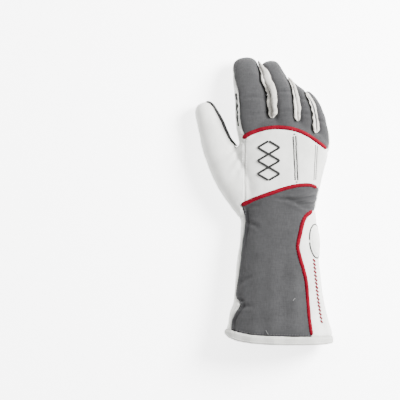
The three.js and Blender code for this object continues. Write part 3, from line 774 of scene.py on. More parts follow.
def finger_place(points, rows):
    """Where points lie in a finger's own frame: share of its length, across, above and roundness"""
    share = np.linspace(0, 1, FINGER_STATIONS)
    at = finger_frames(rows, share)
    nearest = np.empty(len(points), int)
    for start in range(0, len(points), BATCH):
        part = points[start:start + BATCH]
        gaps = ((part[:, None] - at["middle"][None]) ** 2).sum(2)
        nearest[start:start + BATCH] = gaps.argmin(1)
    offset = points - at["middle"][nearest]
    across, above, ahead = (
        np.einsum("ij,ij->i", offset, at[name][nearest]) for name in ("side", "up", "forward")
    )
    width, depth = at["width"][nearest], at["depth"][nearest]
    size = np.sqrt((across / width) ** 2 + (above / depth) ** 2 + (ahead / depth) ** 2)
    return dict(share=share[nearest], across=across, above=above, size=size)


def index_seam_rise(place):
    """How much higher the index finger's seam runs: most on its outer side, fading to the tip"""
    begin, end = INDEX_SEAM_FADE
    fade = 1 - ease((place["share"] - begin) / (end - begin))
    return INDEX_SEAM_RISE * fade * (1 - (place["across"] + SEAM_REACH) / (2 * SEAM_REACH))


def finger_back_height(points, places):
    """How far points lie above the seam that runs round the finger backs"""
    total = np.zeros(len(points))
    weights = np.zeros(len(points))
    for name in LONG_FINGERS:
        place = places[name]
        low = index_seam_rise(place) if name == "index" else 0
        weight = bell(place["size"] - FINGER_BLEND["size"], FINGER_BLEND["spread"]) + TINY
        started = ease((place["share"] - FINGER_BLEND["root"]) / FINGER_BLEND["fade"])
        weight *= started + FINGER_BLEND["least"]
        total += weight * (place["above"] - low)
        weights += weight
    outer = HAND_BLEND["slope"] * np.maximum(points[:, 0] - HAND_BLEND["slope_from_x"], 0)
    hand = 1 - ease((points[:, 1] - HAND_BLEND["y"] + outer) / HAND_BLEND["fade"])
    rise = INDEX_SEAM_RISE * ease((HAND_BLEND["index_x"] - points[:, 0]) / HAND_BLEND["index_fade"])
    total += hand * (points[:, 2] - KNUCKLE_SEAM_HEIGHT - rise)
    return total / (weights + hand)


def fold_dip(plan, fold):
    """How far a soft fold dips at points seen from above, fading out at its ends"""
    start, end = np.array(fold["start"], float), np.array(fold["end"], float)
    reach = end - start
    length = np.linalg.norm(reach)
    offset = plan - start
    t = offset @ reach / length**2
    across = (offset[:, 0] * reach[1] - offset[:, 1] * reach[0]) / length
    across = across + FOLD_SHAPE["bow"] * length * np.sin(math.pi * t)
    fade = np.sin(math.pi * np.clip(t, 0, 1)) ** FOLD_SHAPE["fade"]
    shoulder = bell(np.abs(across) - 2 * fold["width"], fold["width"])
    return fold["depth"] * fade * (bell(across, fold["width"]) - FOLD_SHAPE["shoulder"] * shoulder)


def gusset_edges():
    """The seams along both sides of each gusset, each with how deep it is drawn in"""
    edges = []
    for rows in GUSSETS.values():
        line = smooth([(row["x"], row["y"]) for row in rows])
        half = along(rows, "half", "y", line[:, 1])
        for seam in GUSSET_SIDES:
            edge = beside(line, seam["side"] * (half + seam["beyond"]))
            edges.append((edge, seam["drawn"]))
    return edges


def beside_cuff_seam(plan, fold):
    """How near points lie to a fold beside the cuff's left seam, and to the two tight levels"""
    line = beside(smooth(CUFF_LEFT_LINE), fold["beside"])
    levels = sum(bell(plan[:, 1] - y, spread) for y, spread in zip(CINCH_LEVELS, fold["spreads"]))
    return bell(line_distance(line, plan), fold["width"]), levels


def drawn_in(plan):
    """How much the cloth is drawn in, from 0 to 1, beside the gussets and along the cuff's fold"""
    near_fold, levels = beside_cuff_seam(plan, CINCH)
    depth = (CINCH["least"] + CINCH["more"] * levels) * near_fold
    rows = [(line, drawn, DRAWN["gusset_width"]) for line, drawn in gusset_edges()]
    rows += [(line, DRAWN["channel"], DRAWN["channel_width"]) for line in CHANNELS]
    rows += [(line, DRAWN["faint_channel"], DRAWN["channel_width"]) for line in FAINT_CHANNELS]
    for line, strength, width in rows:
        depth = np.maximum(depth, strength * bell(line_distance(line, plan), width))
    return depth


def shade(plan, distance):
    """How much painted shade the cloth gets, from 0 to 1, along its seams and folds, away from the
    pipings
    """
    piping = np.min([line_distance(smooth(line, SHADE["steps"]), plan) for line in PIPING_LINES], axis=0)
    # Painted shade: darker near each panel's rim, in the cuff's turned fold, in the folds' valleys and
    # where the cloth is drawn in
    seam = np.exp(-distance / SHADE["seam"]) * (1 - bell(piping, SHADE["piping"]))
    near_fold, levels = beside_cuff_seam(plan, CINCH_SHADE)
    tucked = CINCH_SHADE["most"] * levels * near_fold
    valleys = sum(np.maximum(fold_dip(plan, fold), 0) * SHADE["valley"] for fold in FOLDS)
    return np.clip(np.maximum(np.maximum(seam, tucked), drawn_in(plan)) + valleys, 0, 1)


def cloth_relief(points, normals, places):
    """How far the cloth stands out or dips in at each point: slack, folds and creases"""
    plan = points[:, :2]
    upper = ease((normals[:, 2] - FACING["start"]) / FACING["fade"])
    under = ease((-normals[:, 2] - FACING["start"]) / FACING["fade"])
    relief = sum(bumps["height"] * ripple(points, bumps["length"], bumps["seed"]) for bumps in SLACK)
    cuff = ease((CUFF_SLACK["below_y"] - points[:, 1]) / CUFF_SLACK["fade"])
    relief += CUFF_SLACK["height"] * cuff * ripple(
        points, CUFF_SLACK["length"], CUFF_SLACK["seed"], stretch=CUFF_SLACK["stretch"]
    )
    relief -= upper * sum(fold_dip(plan, fold) for fold in FOLDS)
    relief -= DRAWN["depth"] * upper * drawn_in(plan)
    crease = bell(ripple(points, CREASE["length"], CREASE["seed"]), CREASE["width"])
    relief -= CREASE["depth"] * crease * (CREASE["above"] + (1 - CREASE["above"]) * under)
    return relief - finger_creases(places)


def finger_creases(places):
    """How deep the creases across the fronts of the fingers are at each point"""
    deep = 0
    for name in LONG_FINGERS:
        place = places[name]
        near = ease((FINGER_CREASE["size"] - place["size"]) / FINGER_CREASE["size_fade"])
        palmar = ease((FINGER_CREASE["top"] - place["above"]) / FINGER_CREASE["fade"])
        for share in FINGER_CREASE["shares"]:
            bent = bell(place["share"] - share, FINGER_CREASE["width"])
            deep = deep + FINGER_CREASE["depth"] * near * palmar * bent
    return deep


def make_skin():
    """The glove's whole outer skin: points, faces, and each point's place before its relief"""
    bodies = [hand_body()] + [finger_body(rows) for rows in FINGERS.values()]
    bodies += [web_body(rows, *name.split("_")[1:]) for name, rows in GUSSETS.items()]
    points, faces = fused(bodies)
    points = resting(relaxed(points, faces, 6))
    normals = normals_of(points, faces)
    places = {name: finger_place(points, rows) for name, rows in FINGERS.items()}
    lifted = points + normals * cloth_relief(points, normals, places)[:, None]
    lifted[:, 2] = np.maximum(lifted[:, 2], SKIN_OFF_FLOOR)
    return np.concatenate([lifted, points], 1), faces


# The regions of the panels, which are cut from the skin in turn


def beyond(points, line):
    """How far points lie beyond a line across the glove, towards the fingers"""
    x, y = np.array(line, float).T
    return points[:, 1] - curve_through(x, y, points[:, 0])


def finger_back_region(points):
    """How deep points lie in the region of the finger backs"""
    line = smooth(KNUCKLE_LINE).tolist()
    crotch_to_tip = THUMB_LINE[4:]
    outline = [
        *line, (FAR, KNUCKLE_LINE_LEAVES), (FAR, FAR), (crotch_to_tip[-1][0], FAR),
        *crotch_to_tip[::-1],
    ]
    places = {name: finger_place(points, FINGERS[name]) for name in LONG_FINGERS}
    return np.minimum(polygon_depth(outline, points[:, :2]), finger_back_height(points, places))


def raised_region(points, outline, height):
    """How deep points lie inside an outline seen from above, and above a height"""
    return np.minimum(polygon_depth(outline, points[:, :2]), points[:, 2] - height)


def hand_back_region(points):
    """How deep points lie in the region of the hand's back"""
    upper = [p for p in smooth(KNUCKLE_LINE).tolist()[::-1] if p[0] > HAND_LEFT]
    lower = [p for p in smooth(WRIST_LINE).tolist() if p[0] > HAND_LEFT]
    outline = [
        *upper, (HAND_LEFT, upper[-1][1]), (HAND_LEFT, lower[0][1]), *lower,
        (FAR, WRIST_LINE_LEAVES), (FAR, KNUCKLE_LINE_LEAVES),
    ]
    return raised_region(points, outline, BACK_SEAM_HEIGHT)


def cuff_back_region(points):
    """How deep points lie in the region of the cuff's back"""
    top = smooth(WRIST_LINE).tolist()[::-1]
    left = smooth(CUFF_LEFT_LINE).tolist()
    right = smooth(SIDE_LINE).tolist()[::-1]
    outline = [
        (FAR, WRIST_LINE_LEAVES), *top, *left, (left[-1][0], -FAR), (right[0][0], -FAR), *right,
        (FAR, SIDE_LINE[0][1]),
    ]
    return raised_region(points, outline, CUFF_SEAM_HEIGHT)


def side_panel_region(points):
    """How deep points lie in the region of the panel down the cuff's little-finger side"""
    edge = smooth(SIDE_LINE).tolist()
    outline = [(FAR, SIDE_LINE[0][1]), *edge, (edge[-1][0], -FAR), (FAR, -FAR)]
    return raised_region(points, outline, SIDE_SEAM_HEIGHT)


def cuff_under_region(points):
    """How deep points lie in the region of the gauntlet's underside"""
    return UNDER_EDGE - points[:, 1]


def finger_front_region(points):
    """How deep points lie in the region of the fingers' fronts"""
    return beyond(points, FINGER_ROOT_LINE)


def thumb_region(points):
    """How deep points lie in the region of the thumb"""
    outline = [(-FAR, THUMB_LINE[0][1]), *THUMB_LINE, (-FAR, FAR)]
    return polygon_depth(outline, points[:, :2])


# Shader maths, written as sums


class Value:
    """A number that varies over a surface. Python's operators on it add the maths nodes."""

    def __init__(self, finish, socket):
        self.finish = finish
        self.socket = socket

    def maths(self, operation, *others):
        return self.finish.node("ShaderNodeMath", {"operation": operation}, [self, *others])

    def __add__(self, other):
        return self.maths("ADD", other)

    def __mul__(self, other):
        return self.maths("MULTIPLY", other)

    def __sub__(self, other):
        return self.maths("SUBTRACT", other)

    __radd__ = __add__
    __rmul__ = __mul__

    def sine(self):
        return self.maths("SINE")

    def clamped(self):
        settings = {"operation": "ADD", "use_clamp": True}
        return self.finish.node("ShaderNodeMath", settings, [self, 0.0])


class Finish:
    """A material that is built from expressions"""

    def __init__(self, name, **constants):
        self.material = bpy.data.materials.new(name)
        self.material.use_nodes = True
        self.tree = self.material.node_tree
        self.shader = self.tree.nodes["Principled BSDF"]
        for socket, value in constants.items():
            self.shader.inputs[socket.replace("_", " ")].default_value = value

    def node(self, kind, settings, inputs, output=0):
        made = self.tree.nodes.new(kind)
        for name, value in settings.items():
            setattr(made, name, value)
        named = inputs.items() if isinstance(inputs, dict) else enumerate(inputs)
        for name, value in named:
            self.feed(made.inputs[name], value)
        return Value(self, made.outputs[output])

    def feed(self, socket, value):
        if isinstance(value, Value):
            self.tree.links.new(value.socket, socket)
        else:
            socket.default_value = value

    def place(self):
        return self.node("ShaderNodeTexCoord", {}, [], "Object")

    def parts(self, vector):
        return [self.node("ShaderNodeSeparateXYZ", {}, [vector], axis) for axis in "XYZ"]

    def stretched(self, vector, by):
        return self.node("ShaderNodeVectorMath", {"operation": "MULTIPLY"}, [vector, by])

    def noise(self, vector, size, detail=2.0, roughness=0.5):
        values = {
            "Vector": vector, "Scale": 1 / (size * MM), "Detail": detail, "Roughness": roughness,
        }
        return self.node("ShaderNodeTexNoise", {}, values, "Fac")

    def blend(self, share, first, second, dimmed=1.0):
        """Two colours mixed, the first dimmed. The Mix node has its colour sockets at these places."""
        factor, one, two, result = 0, 6, 7, 2
        settings = {"data_type": "RGBA", "clamp_factor": True}
        inputs = {factor: share, one: colour(first, dimmed), two: colour(second)}
        return self.node("ShaderNodeMix", settings, inputs, result)

    def stripes(self, value, pitch_mm):
        """Even stripes, from -1 to 1, where a place along one direction grows"""
        return (value * (2 * math.pi / (pitch_mm * MM))).sine()

    def attribute(self, name):
        return self.node("ShaderNodeAttribute", {"attribute_name": name}, [], "Fac")

    def set(self, name, value):
        self.feed(self.shader.inputs[name], value)

    def bump(self, height, depth):
        values = {"Height": height, "Distance": depth * MM, "Strength": 1.0}
        self.set("Normal", self.node("ShaderNodeBump", {}, values, "Normal"))


def colour(text, dimmed=1.0):
    """A shader colour from a web colour such as e6e6e2, or from a node's value as it is"""
    if isinstance(text, Value):
        return text
    shades = [int(text[i:i + 2], 16) / 255 for i in (0, 2, 4)]
    linear = [s / 12.92 if s <= 0.04045 else ((s + 0.055) / 1.055) ** 2.4 for s in shades]
    return (*(channel * dimmed for channel in linear), 1.0)


def grey_knit(name, row_mm, column_mm, dark, light, seam):
    """Fine grey jersey: rows of small loops, mottled yarn and a soft fuzz, with painted shade mixed
    towards the seam colour
    """
    finish = Finish(name, Specular_IOR_Level=0.2, Sheen_Weight=0.12, Sheen_Roughness=0.5)
    place = finish.place()
    x, y, z = finish.parts(place)
    wander = finish.noise(place, 6) * (0.5 * MM)
    rows = finish.stripes(y + wander, row_mm)
    columns = finish.stripes(x + z * 0.6 + wander, column_mm)
    loops = rows * (0.6 + columns * 0.4)
    fuzz = finish.noise(place, 0.5, 3.0, 0.7)
    crosswise = finish.noise(finish.stretched(place, (0.3, 1.6, 1.0)), 2.2, 3.0, 0.65)
    lengthwise = finish.noise(finish.stretched(place, (1.6, 0.25, 1.6)), 1.8, 3.0, 0.65)
    clouds = finish.noise(place, 24, 2.0)
    yarns = crosswise * 0.4 + lengthwise * 0.5
    tone = (loops * 0.12 + yarns + fuzz * 0.35 + clouds * 0.45 - 0.35).clamped()
    # Painted shade: the edge attribute mixes the knit towards the dark seam colour along seams, folds
    # and panel rims
    shaded = (finish.attribute("edge") * 0.75).clamped()
    finish.set("Base Color", finish.blend(shaded, finish.blend(tone, dark, light), seam))
    finish.set("Roughness", 0.86 + fuzz * 0.12)
    finish.bump(loops * 0.5 + fuzz * 0.6, 0.22)
    return finish.material


def suede(name, dark, light):
    """White suede: a short nap that lies in soft patches, with fine pores, darkened a little by painted
    shade along seams and folds
    """
    finish = Finish(name, Specular_IOR_Level=0.3, Sheen_Weight=0.35, Sheen_Roughness=0.45)
    place = finish.place()
    grain = finish.noise(place, 0.9, 4.0, 0.65)
    nap = finish.noise(finish.stretched(place, (1.0, 0.5, 1.0)), 9, 3.0, 0.6)
    # Painted shade along seams, folds and panel rims, read from the edge attribute
    painted_shade = finish.attribute("edge")
    tone = (grain * 0.5 + nap * 0.8 - 0.15 - painted_shade * 0.25).clamped()
    finish.set("Base Color", finish.blend(tone, dark, light))
    finish.set("Roughness", 0.72 + grain * 0.2)
    finish.bump(grain + nap * 0.4, 0.16)
    return finish.material


def woven(name, dark, light, thread_mm, shine):
    """A close plain weave on tape, gussets or piping"""
    finish = Finish(name, Specular_IOR_Level=shine)
    place = finish.place()
    x, y, z = finish.parts(place)
    first = finish.stripes(x + y + z * 0.5, thread_mm)
    second = finish.stripes(x - y + z * 0.5, thread_mm)
    weave = first * second
    fuzz = finish.noise(place, 0.6, 3.0, 0.65)
    clouds = finish.noise(place, 7, 2.0)
    tone = (weave * 0.2 + fuzz * 0.5 + clouds * 0.6 - 0.15).clamped()
    finish.set("Base Color", finish.blend(tone, dark, light))
    finish.set("Roughness", 0.62 + fuzz * 0.25)
    finish.bump(weave * 0.5 + fuzz * 0.5, 0.14)
    return finish.material


def silicone():
    """Black silicone with a slight gloss"""
    finish = Finish("black silicone", Specular_IOR_Level=0.3)
    place = finish.place()
    dust = finish.noise(place, 1.6, 4.0, 0.7)
    finish.set("Base Color", finish.blend(dust, "020202", "090909"))
    finish.set("Roughness", 0.32 + dust * 0.25)
    finish.bump(dust, 0.1)
    return finish.material


def thread(name, tint):
    """Sewing thread, with its twist"""
    finish = Finish(name, Specular_IOR_Level=0.3)
    place = finish.place()
    x, y, z = finish.parts(place)
    twist = finish.stripes(x + y + z, 0.35)
    clouds = finish.noise(place, 3, 2.0)
    tone = (clouds * 0.8 + twist * 0.2 + 0.1).clamped()
    finish.set("Base Color", finish.blend(tone, tint, tint, 0.6))
    finish.set("Roughness", 0.6 + clouds * 0.2)
    finish.bump(twist, 0.05)
    return finish.material


# Pieces


def add_piece(name, points, faces, material, node=None, edge=None):
    """A shown piece of the glove. It may stand for a solid, whose slot is named as the material is."""
    mesh = mesh_of(name, points, faces)
    mesh.shade_smooth()
    mesh.materials.append(material)
    # The edge attribute holds painted shade, one value per point, for the materials to darken by
    if edge is not None:
        layer = mesh.attributes.new("edge", "FLOAT", "POINT")
        layer.data.foreach_set("value", edge.astype(np.float32))
    piece = bpy.data.objects.new(name, mesh)
    bpy.context.scene.collection.objects.link(piece)
    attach(piece, "root")
    if node:
        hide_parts(node)
    return piece


def panel_surface(sheet, faces, tuck, proud):
    """A panel's outside: its edges are turned under, and it stands a little proud between them"""
    points = sheet[:, :3]
    normals = normals_of(points, faces)
    distance = distance_to(points[np.unique(rim_of(faces))], points, EDGE["search"])
    pucker = EDGE["pucker"] * ripple(points, EDGE["pucker_length"], 11)
    pucker *= np.exp(-distance / EDGE["pucker_fade"])
    dip = tuck * bell(distance, EDGE["turn"])
    moved = points + normals * (proud + pucker - dip)[:, None]
    moved[:, 2] = np.maximum(moved[:, 2], CLOTH_OFF_FLOOR)
    return moved, distance


def rounded_rim(points, faces, distance):
    """A thickened panel with its cut edges rounded over"""
    near = bell(np.tile(distance, 2), RIM["reach"])
    return relaxed(points, faces, RIM["rounds"], RIM["strength"] * near)


def make_panel(name, sheet, faces, material, thickness=CLOTH, tuck=TUCK, proud=0.0):
    """One cloth panel, as a closed sheet, with painted shade in its edge attribute. Its outside is
    returned for stitching.
    """
    outside, distance = panel_surface(sheet, faces, tuck, proud)
    points, closed = thickened(outside, faces, thickness)
    points = rounded_rim(points, closed, distance)
    points[:, 2] = np.maximum(points[:, 2], CLOTH_OFF_FLOOR)
    # Painted shade along seams and folds, weaker low down by the floor, kept per point on both layers
    upper = SHADE["below"] + (1 - SHADE["below"]) * ease(outside[:, 2] / SHADE["full_height"])
    edge = np.tile(upper * shade(outside[:, :2], distance), 2)
    add_piece(name + "_cloth", points, closed, material, name, edge)
    return outside, faces, distance


def tube(line, radii, sides=14):
    """A round cord along points, with closed ends"""
    forward = unit(np.gradient(line, axis=0))
    up = np.array([0.0, 0.0, 1.0])
    side = unit(np.cross(forward, up))
    lift = np.cross(side, forward)
    turns = round_turn(sides)
    around = (
        np.cos(turns)[None, :, None] * side[:, None] + np.sin(turns)[None, :, None] * lift[:, None]
    )
    return loft(line[:, None] + around * np.asarray(radii)[:, None, None])


def spaced(line, pitch):
    """Points at an even pitch along a line"""
    run = run_along(line)
    count = max(2, int(round(run[-1] / pitch)) + 1)
    return sampled(line, run, np.linspace(0, run[-1], count))


class Surface:
    """The glove's skin, to lay things on"""

    def __init__(self, points, faces):
        self.tree = BVHTree.FromPolygons(points.tolist(), faces.tolist())

    def height(self, x, y):
        hit = self.tree.ray_cast(Vector((x, y, FAR)), Vector((0, 0, -1)))
        return hit[0].z if hit[0] else 0.0

    def below(self, point, out):
        """Where the skin is first met from far outside, on the way in through a point"""
        return np.array(self.tree.ray_cast(Vector(point + out * FAR), Vector(-out))[0])

    def drape(self, line):
        """A line seen from above, laid on the skin"""
        return np.array([(x, y, self.height(x, y)) for x, y in line])

    def nearest(self, point):
        """The nearest point of the skin and its outward direction"""
        spot, normal, _, _ = self.tree.find_nearest(Vector(point))
        return np.array(spot), np.array(normal)


def evened(values, reach):
    """Values averaged with their neighbours along a line"""
    padded = np.concatenate([np.full(reach, values[0]), values, np.full(reach, values[-1])])
    return np.convolve(padded, np.ones(2 * reach + 1) / (2 * reach + 1), "valid")


def make_piping(name, line, surface, material):
    """Covered cord in a seam, with small puckers from its stitches"""
    laid = surface.drape(spaced(smooth(line, LONG_LINE_STEPS), PIPING["step"]))
    laid[:, 2] = evened(laid[:, 2], PIPING["levelled"]) - PIPING["sunk"]
    laid = laid[beyond(laid, HEM_LINE) > PIPING["before_hem"]]
    run = np.arange(len(laid)) * PIPING["step"]
    dents = PIPING["dent"] * np.sin(run * 2 * math.pi / PIPING["dent_pitch"])
    wave = 1 + dents + PIPING["slack"] * ripple(laid, PIPING["slack_length"], 21)
    bulk = PIPING["bulk"] - PIPING["thinner"] * run / run[-1]
    taper = tapered(run, PIPING["ends"], PIPING["least"])
    cord = tube(laid, PIPING["radius"] * taper * wave * bulk)
    add_piece(name + "_cord", *cord, material, name)


def gusset_halves(rows, route, run):
    """A gusset's half width along its route, rounded off at its root and tapered at its tip"""
    half = along(rows, "half", "y", route[:, 1])
    root = (run + GUSSET_ENDS["before"]) / (GUSSET_ENDS["rounding"] * half[0])
    tip = (run[-1] - run + GUSSET_ENDS["after"]) / GUSSET_ENDS["taper"]
    for share in (root, tip):
        half *= np.sqrt(np.clip(share, GUSSET_ENDS["least"], 1))
    return half


def seam_heights(surface, route, sideways):
    """How high the skin is along one of a gusset's seams, or a little beyond it if higher there"""
    return steadied([
        max(surface.height(*(middle + step)), surface.height(*(middle + step * GUSSET_REACH)))
        for middle, step in zip(route, sideways)
    ])


def make_gusset(name, rows, surface, material, seed):
    """A strip folded down between two fingers, whose two seams stand up as ruffled lips"""
    line = smooth([(row["x"], row["y"]) for row in rows], LONG_LINE_STEPS)
    route = spaced(line, GUSSET_STEP)
    forward = unit(np.gradient(route, axis=0))
    across = np.stack([forward[:, 1], -forward[:, 0]], 1)
    count = len(route)
    half = gusset_halves(rows, route, np.arange(count) * GUSSET_STEP)
    ruffle = np.clip(half / RUFFLE["full_half"], RUFFLE["least"], 1)
    spots = np.concatenate([route, np.zeros((count, 1))], 1)
    leans, tops = [], []
    for side in (-1, 1):
        wave = ripple(spots + side * RUFFLE["shift"], RUFFLE["length"], seed, waves=RUFFLE["waves"])
        rise = ripple(
            spots - side * RUFFLE["rise_shift"], RUFFLE["rise_length"], seed + 1, waves=RUFFLE["waves"]
        )
        seam = seam_heights(surface, route, across * half[:, None] * side)
        leans.append(RUFFLE["lean"] * (ruffle * wave))
        tops.append(seam + GUSSET_PROUD + RUFFLE["rise"] * (ruffle * rise))
    crease = GUSSET_FOLD["off_middle"] * half * ease(np.arange(count) / count * GUSSET_FOLD["shift"])
    sections = [
        gusset_section(surface, *section)
        for section in zip(route, across, half, crease, zip(*leans), zip(*tops))
    ]
    points, faces = loft(np.array(sections))
    piece = add_piece(name + "_cloth", points, faces, material, name)
    rounding = piece.modifiers.new("rounding", "SUBSURF")
    rounding.levels = 1
    rounding.render_levels = 1


def steadied(heights):
    """Heights along a line that fall no faster than the fingers do, where they run off the skin"""
    steady = list(heights[:1])
    for height in heights[1:]:
        steady.append(max(height, steady[-1] - GUSSET_FALL))
    return np.array(steady)


def gusset_section(surface, middle, across, half, crease, leans, tops):
    """One section of a gusset, as a ring of points: two rolled lips with a crease between them"""
    def spot(offset, z):
        return (*(middle + across * offset), z)

    def lip(outer, inner, top, lean):
        width = inner - outer
        return [spot(outer + width * t + lean * (1 - RUFFLE["lean"] * t), top + z) for t, z in LIP_ROLL]

    low = min(tops)
    deepest = min(GUSSET_FOLD["most"], GUSSET_FOLD["least"] + GUSSET_FOLD["by_half"] * half)
    skin_below = surface.height(*middle) + GUSSET_CLOTH
    fold = min(max(skin_below, low - deepest), low - GUSSET_FOLD["least"])
    fold = max(fold, surface.height(*(middle + across * crease)) + GUSSET_FOLD["above"])
    foot = fold - min(GUSSET_FOLD["foot"], GUSSET_FOLD["foot_least"] + half)
    foot_half = half * GUSSET_FOLD["foot_half"]
    gap = min(LIP_GAP["most"], half * LIP_GAP["by_half"])
    return [
        spot(-foot_half, foot), spot(foot_half, foot),
        *lip(half, crease + gap, tops[1], leans[1]), spot(crease, fold),
        *lip(-half, crease - gap, tops[0], leans[0])[::-1],
    ]


def make_pad(surface, material):
    """The crowned oval pad over the wrist bone, sewn down round its edge"""
    tilt = math.radians(PAD["tilt"])
    out = np.array([math.cos(tilt), 0, math.sin(tilt)])
    across = np.array([-math.sin(tilt), 0, math.cos(tilt)])
    centre = np.array([PAD["x"], PAD["y"], PAD["z"]])
    radius = np.linspace(0, 1, PAD["rings"])[1:, None]
    turns = round_turn(PAD["sides"])
    wide = (PAD["wide"] * radius * np.cos(turns))[:, :, None]
    long = (PAD["long"] * radius * np.sin(turns))[:, :, None]
    spots = centre + np.array([0, 1, 0]) * long + across * wide
    base = np.array([[surface.below(spot, out) for spot in ring] for ring in spots])
    crown = PAD_CROWN["height"] * (1 - radius ** PAD_CROWN["flat"]) ** PAD_CROWN["steep"]
    seam = PAD_SEAM["depth"] * bell(radius - PAD_SEAM["radius"], PAD_SEAM["width"])
    top = base + out * (crown - seam + PAD_CROWN["lift"])[:, :, None]
    bottom = base[::-1] - out * PAD_CROWN["under"]
    edge = (top[-1] + bottom[0]) / 2 + unit(top[-1] - top[-2]) * PAD_CROWN["rim"]
    points, faces = loft(np.concatenate([top, edge[None], bottom]))
    pad = add_piece("wrist_pad_cushion", points, faces, material, "wrist_pad")
    border = np.concatenate([edge, edge[:1]]) + out * PAD_CROWN["stitch_lift"]
    return np.concatenate([border, np.broadcast_to(out, border.shape)], 1)


def make_grip(skin, faces, places, material):
    """The raised silicone marks on the index finger's side: a wavy strip with a rugged edge"""
    place = places["index"]
    t = (place["share"] - GRIP["start"]) / (GRIP["end"] - GRIP["start"])
    wave = GRIP["wave"] * np.sin(2 * math.pi * GRIP["waves"] * t)
    rugged = GRIP["rugged"] * ripple(skin[:, 3:], GRIP["rugged_length"], 31)
    half = GRIP["width"] / 2 + rugged - GRIP["swell"] * wave
    value = half - np.abs(place["above"] - GRIP["rise"] - GRIP["sway"] * wave)
    value = np.minimum(value, np.minimum(t, 1 - t) * GRIP["ends"])
    value[(place["across"] >= 0) | (place["size"] >= GRIP["reach"])] = -1
    sheet, part = largest(*cut(skin, faces, value))
    points = sheet[:, :3]
    distance = distance_to(points[np.unique(rim_of(part))], points, GRIP_RELIEF["search"])
    height = GRIP_RELIEF["height"] * (1 - bell(distance, GRIP_RELIEF["edge"])) + GRIP_RELIEF["least"]
    raised = points + normals_of(points, part) * height[:, None]
    closed = thickened(raised, part, GRIP_RELIEF["thickness"])
    add_piece("index_grip_marks", *closed, material, "index_grip")


def make_trim(surface, material):
    """The black edging along the thumb's inner edge"""
    line = smooth(TRIM_LINE, TRIM["points"])
    middles = along(FINGERS["thumb"], "z", "y", line[:, 1])
    laid = []
    for (x, y), z in zip(line, middles):
        spot, normal = surface.nearest((x, y, z + TRIM["above"]))
        laid.append(spot + normal * TRIM["proud"])
    laid = spaced(np.array(laid), TRIM["step"])
    laid = np.stack([evened(axis, TRIM["levelled"]) for axis in laid.T], 1)
    run = np.arange(len(laid)) * TRIM["step"]
    swell = TRIM["slim"] + (1 - TRIM["slim"]) * np.sin(math.pi * run / run[-1])
    taper = swell * tapered(run, TRIM["ends"], TRIM["least"])
    cord = tube(laid, TRIM["radius"] * taper, TRIM["sides"])
    add_piece("thumb_trim_cord", *cord, material, "thumb_trim")


# Stitching


def chains(steps):
    """The runs of neighbours in a table of each key's neighbours, closed where a run is a loop"""
    found = []
    unseen = set(steps)
    open_ends = [key for key in steps if len(steps[key]) == 1]
    for start in open_ends + list(steps):
        if start not in unseen:
            continue
        chain = [start]
        unseen.discard(start)
        while onward := [key for key in steps[chain[-1]] if key in unseen]:
            chain.append(onward[0])
            unseen.discard(onward[0])
        if start in steps[chain[-1]] and len(chain) > SHORTEST_ROW:
            chain.append(start)
        found.append(np.array(chain))
    return found


def contours(points, faces, values, level):
    """The lines on a mesh where values pass a level, each as points and outward directions"""
    above = values >= level
    steps = {}
    for a, b, c in faces[np.isin(above[faces].sum(1), (1, 2))].tolist():
        pairs = [pair for pair in ((a, b), (b, c), (c, a)) if above[pair[0]] != above[pair[1]]]
        first, second = (tuple(sorted(pair)) for pair in pairs)
        steps.setdefault(first, []).append(second)
        steps.setdefault(second, []).append(first)
    both = np.concatenate([points, normals_of(points, faces)], 1)
    lines = []
    for chain in chains(steps):
        a, b = chain.T
        t = ((level - values[a]) / (values[b] - values[a]))[:, None]
        line = both[a] * (1 - t) + both[b] * t
        lines.append(np.concatenate([line[:, :3], unit(line[:, 3:])], 1))
    return lines


def stitch_marks(lines, pitch=3.0, length=2.2, radius=0.3, shortest=12, lift=0.0):
    """Small arched stitches along lines of points and outward directions"""
    turns = round_turn(STITCH["sides"])
    t = np.linspace(-1, 1, STITCH["rings"])
    arch = lift + STITCH["arch"] * (1 - t**2) - STITCH["sunk"]
    bulk = radius * np.sqrt(1 - STITCH["pointed"] * t**2)
    bodies = []
    for line in lines:
        if len(line) < SHORTEST_ROW:
            continue
        even = spaced(line, STITCH["step"])
        if run_along(even[:, :3])[-1] < shortest:
            continue
        even[:, :3] = np.stack([evened(axis, STITCH["levelled"]) for axis in even[:, :3].T], 1)
        marks = spaced(even, pitch)
        middles, ups = marks[:, :3], unit(marks[:, 3:])
        forward = unit(np.gradient(middles, axis=0))
        side = unit(np.cross(forward, ups))
        up = np.cross(side, forward)
        for m, f, s, u in zip(middles[1:-1], forward[1:-1], side[1:-1], up[1:-1]):
            centre = m + f * (t * length / 2)[:, None] + u * arch[:, None]
            around = np.cos(turns)[None, :, None] * s + np.sin(turns)[None, :, None] * u
            bodies.append(loft(centre[:, None] + around * bulk[:, None, None]))
    return joined(bodies)


def sewn_lines(surface, lines):
    """Lines seen from above, laid on the skin, with the skin's outward direction at each point"""
    laid = [surface.drape(spaced(np.array(line, float), STITCH["step"])) for line in lines]
    return [np.array([np.concatenate(surface.nearest(point)) for point in line]) for line in laid]


def diamond_lines():
    """Stacked diamonds that share their corners, as two crossing zigzags"""
    count = DIAMONDS["count"]
    levels = DIAMONDS["y"] + DIAMONDS["half_height"] * np.arange(-count, count + 1)
    swing = np.arange(len(levels)) % 2 * DIAMONDS["half_width"]
    return [
        [(DIAMONDS["x"] + side * x, y) for x, y in zip(swing, levels)]
        for side in (-1, 1)
    ]


def dash_lines():
    """Short slanting dashes down the side panel"""
    step = np.array([DASH["across"], -DASH["down"]])
    return [(middle - step, middle + step) for middle in spaced(smooth(DASH_LINE), DASH["pitch"])]


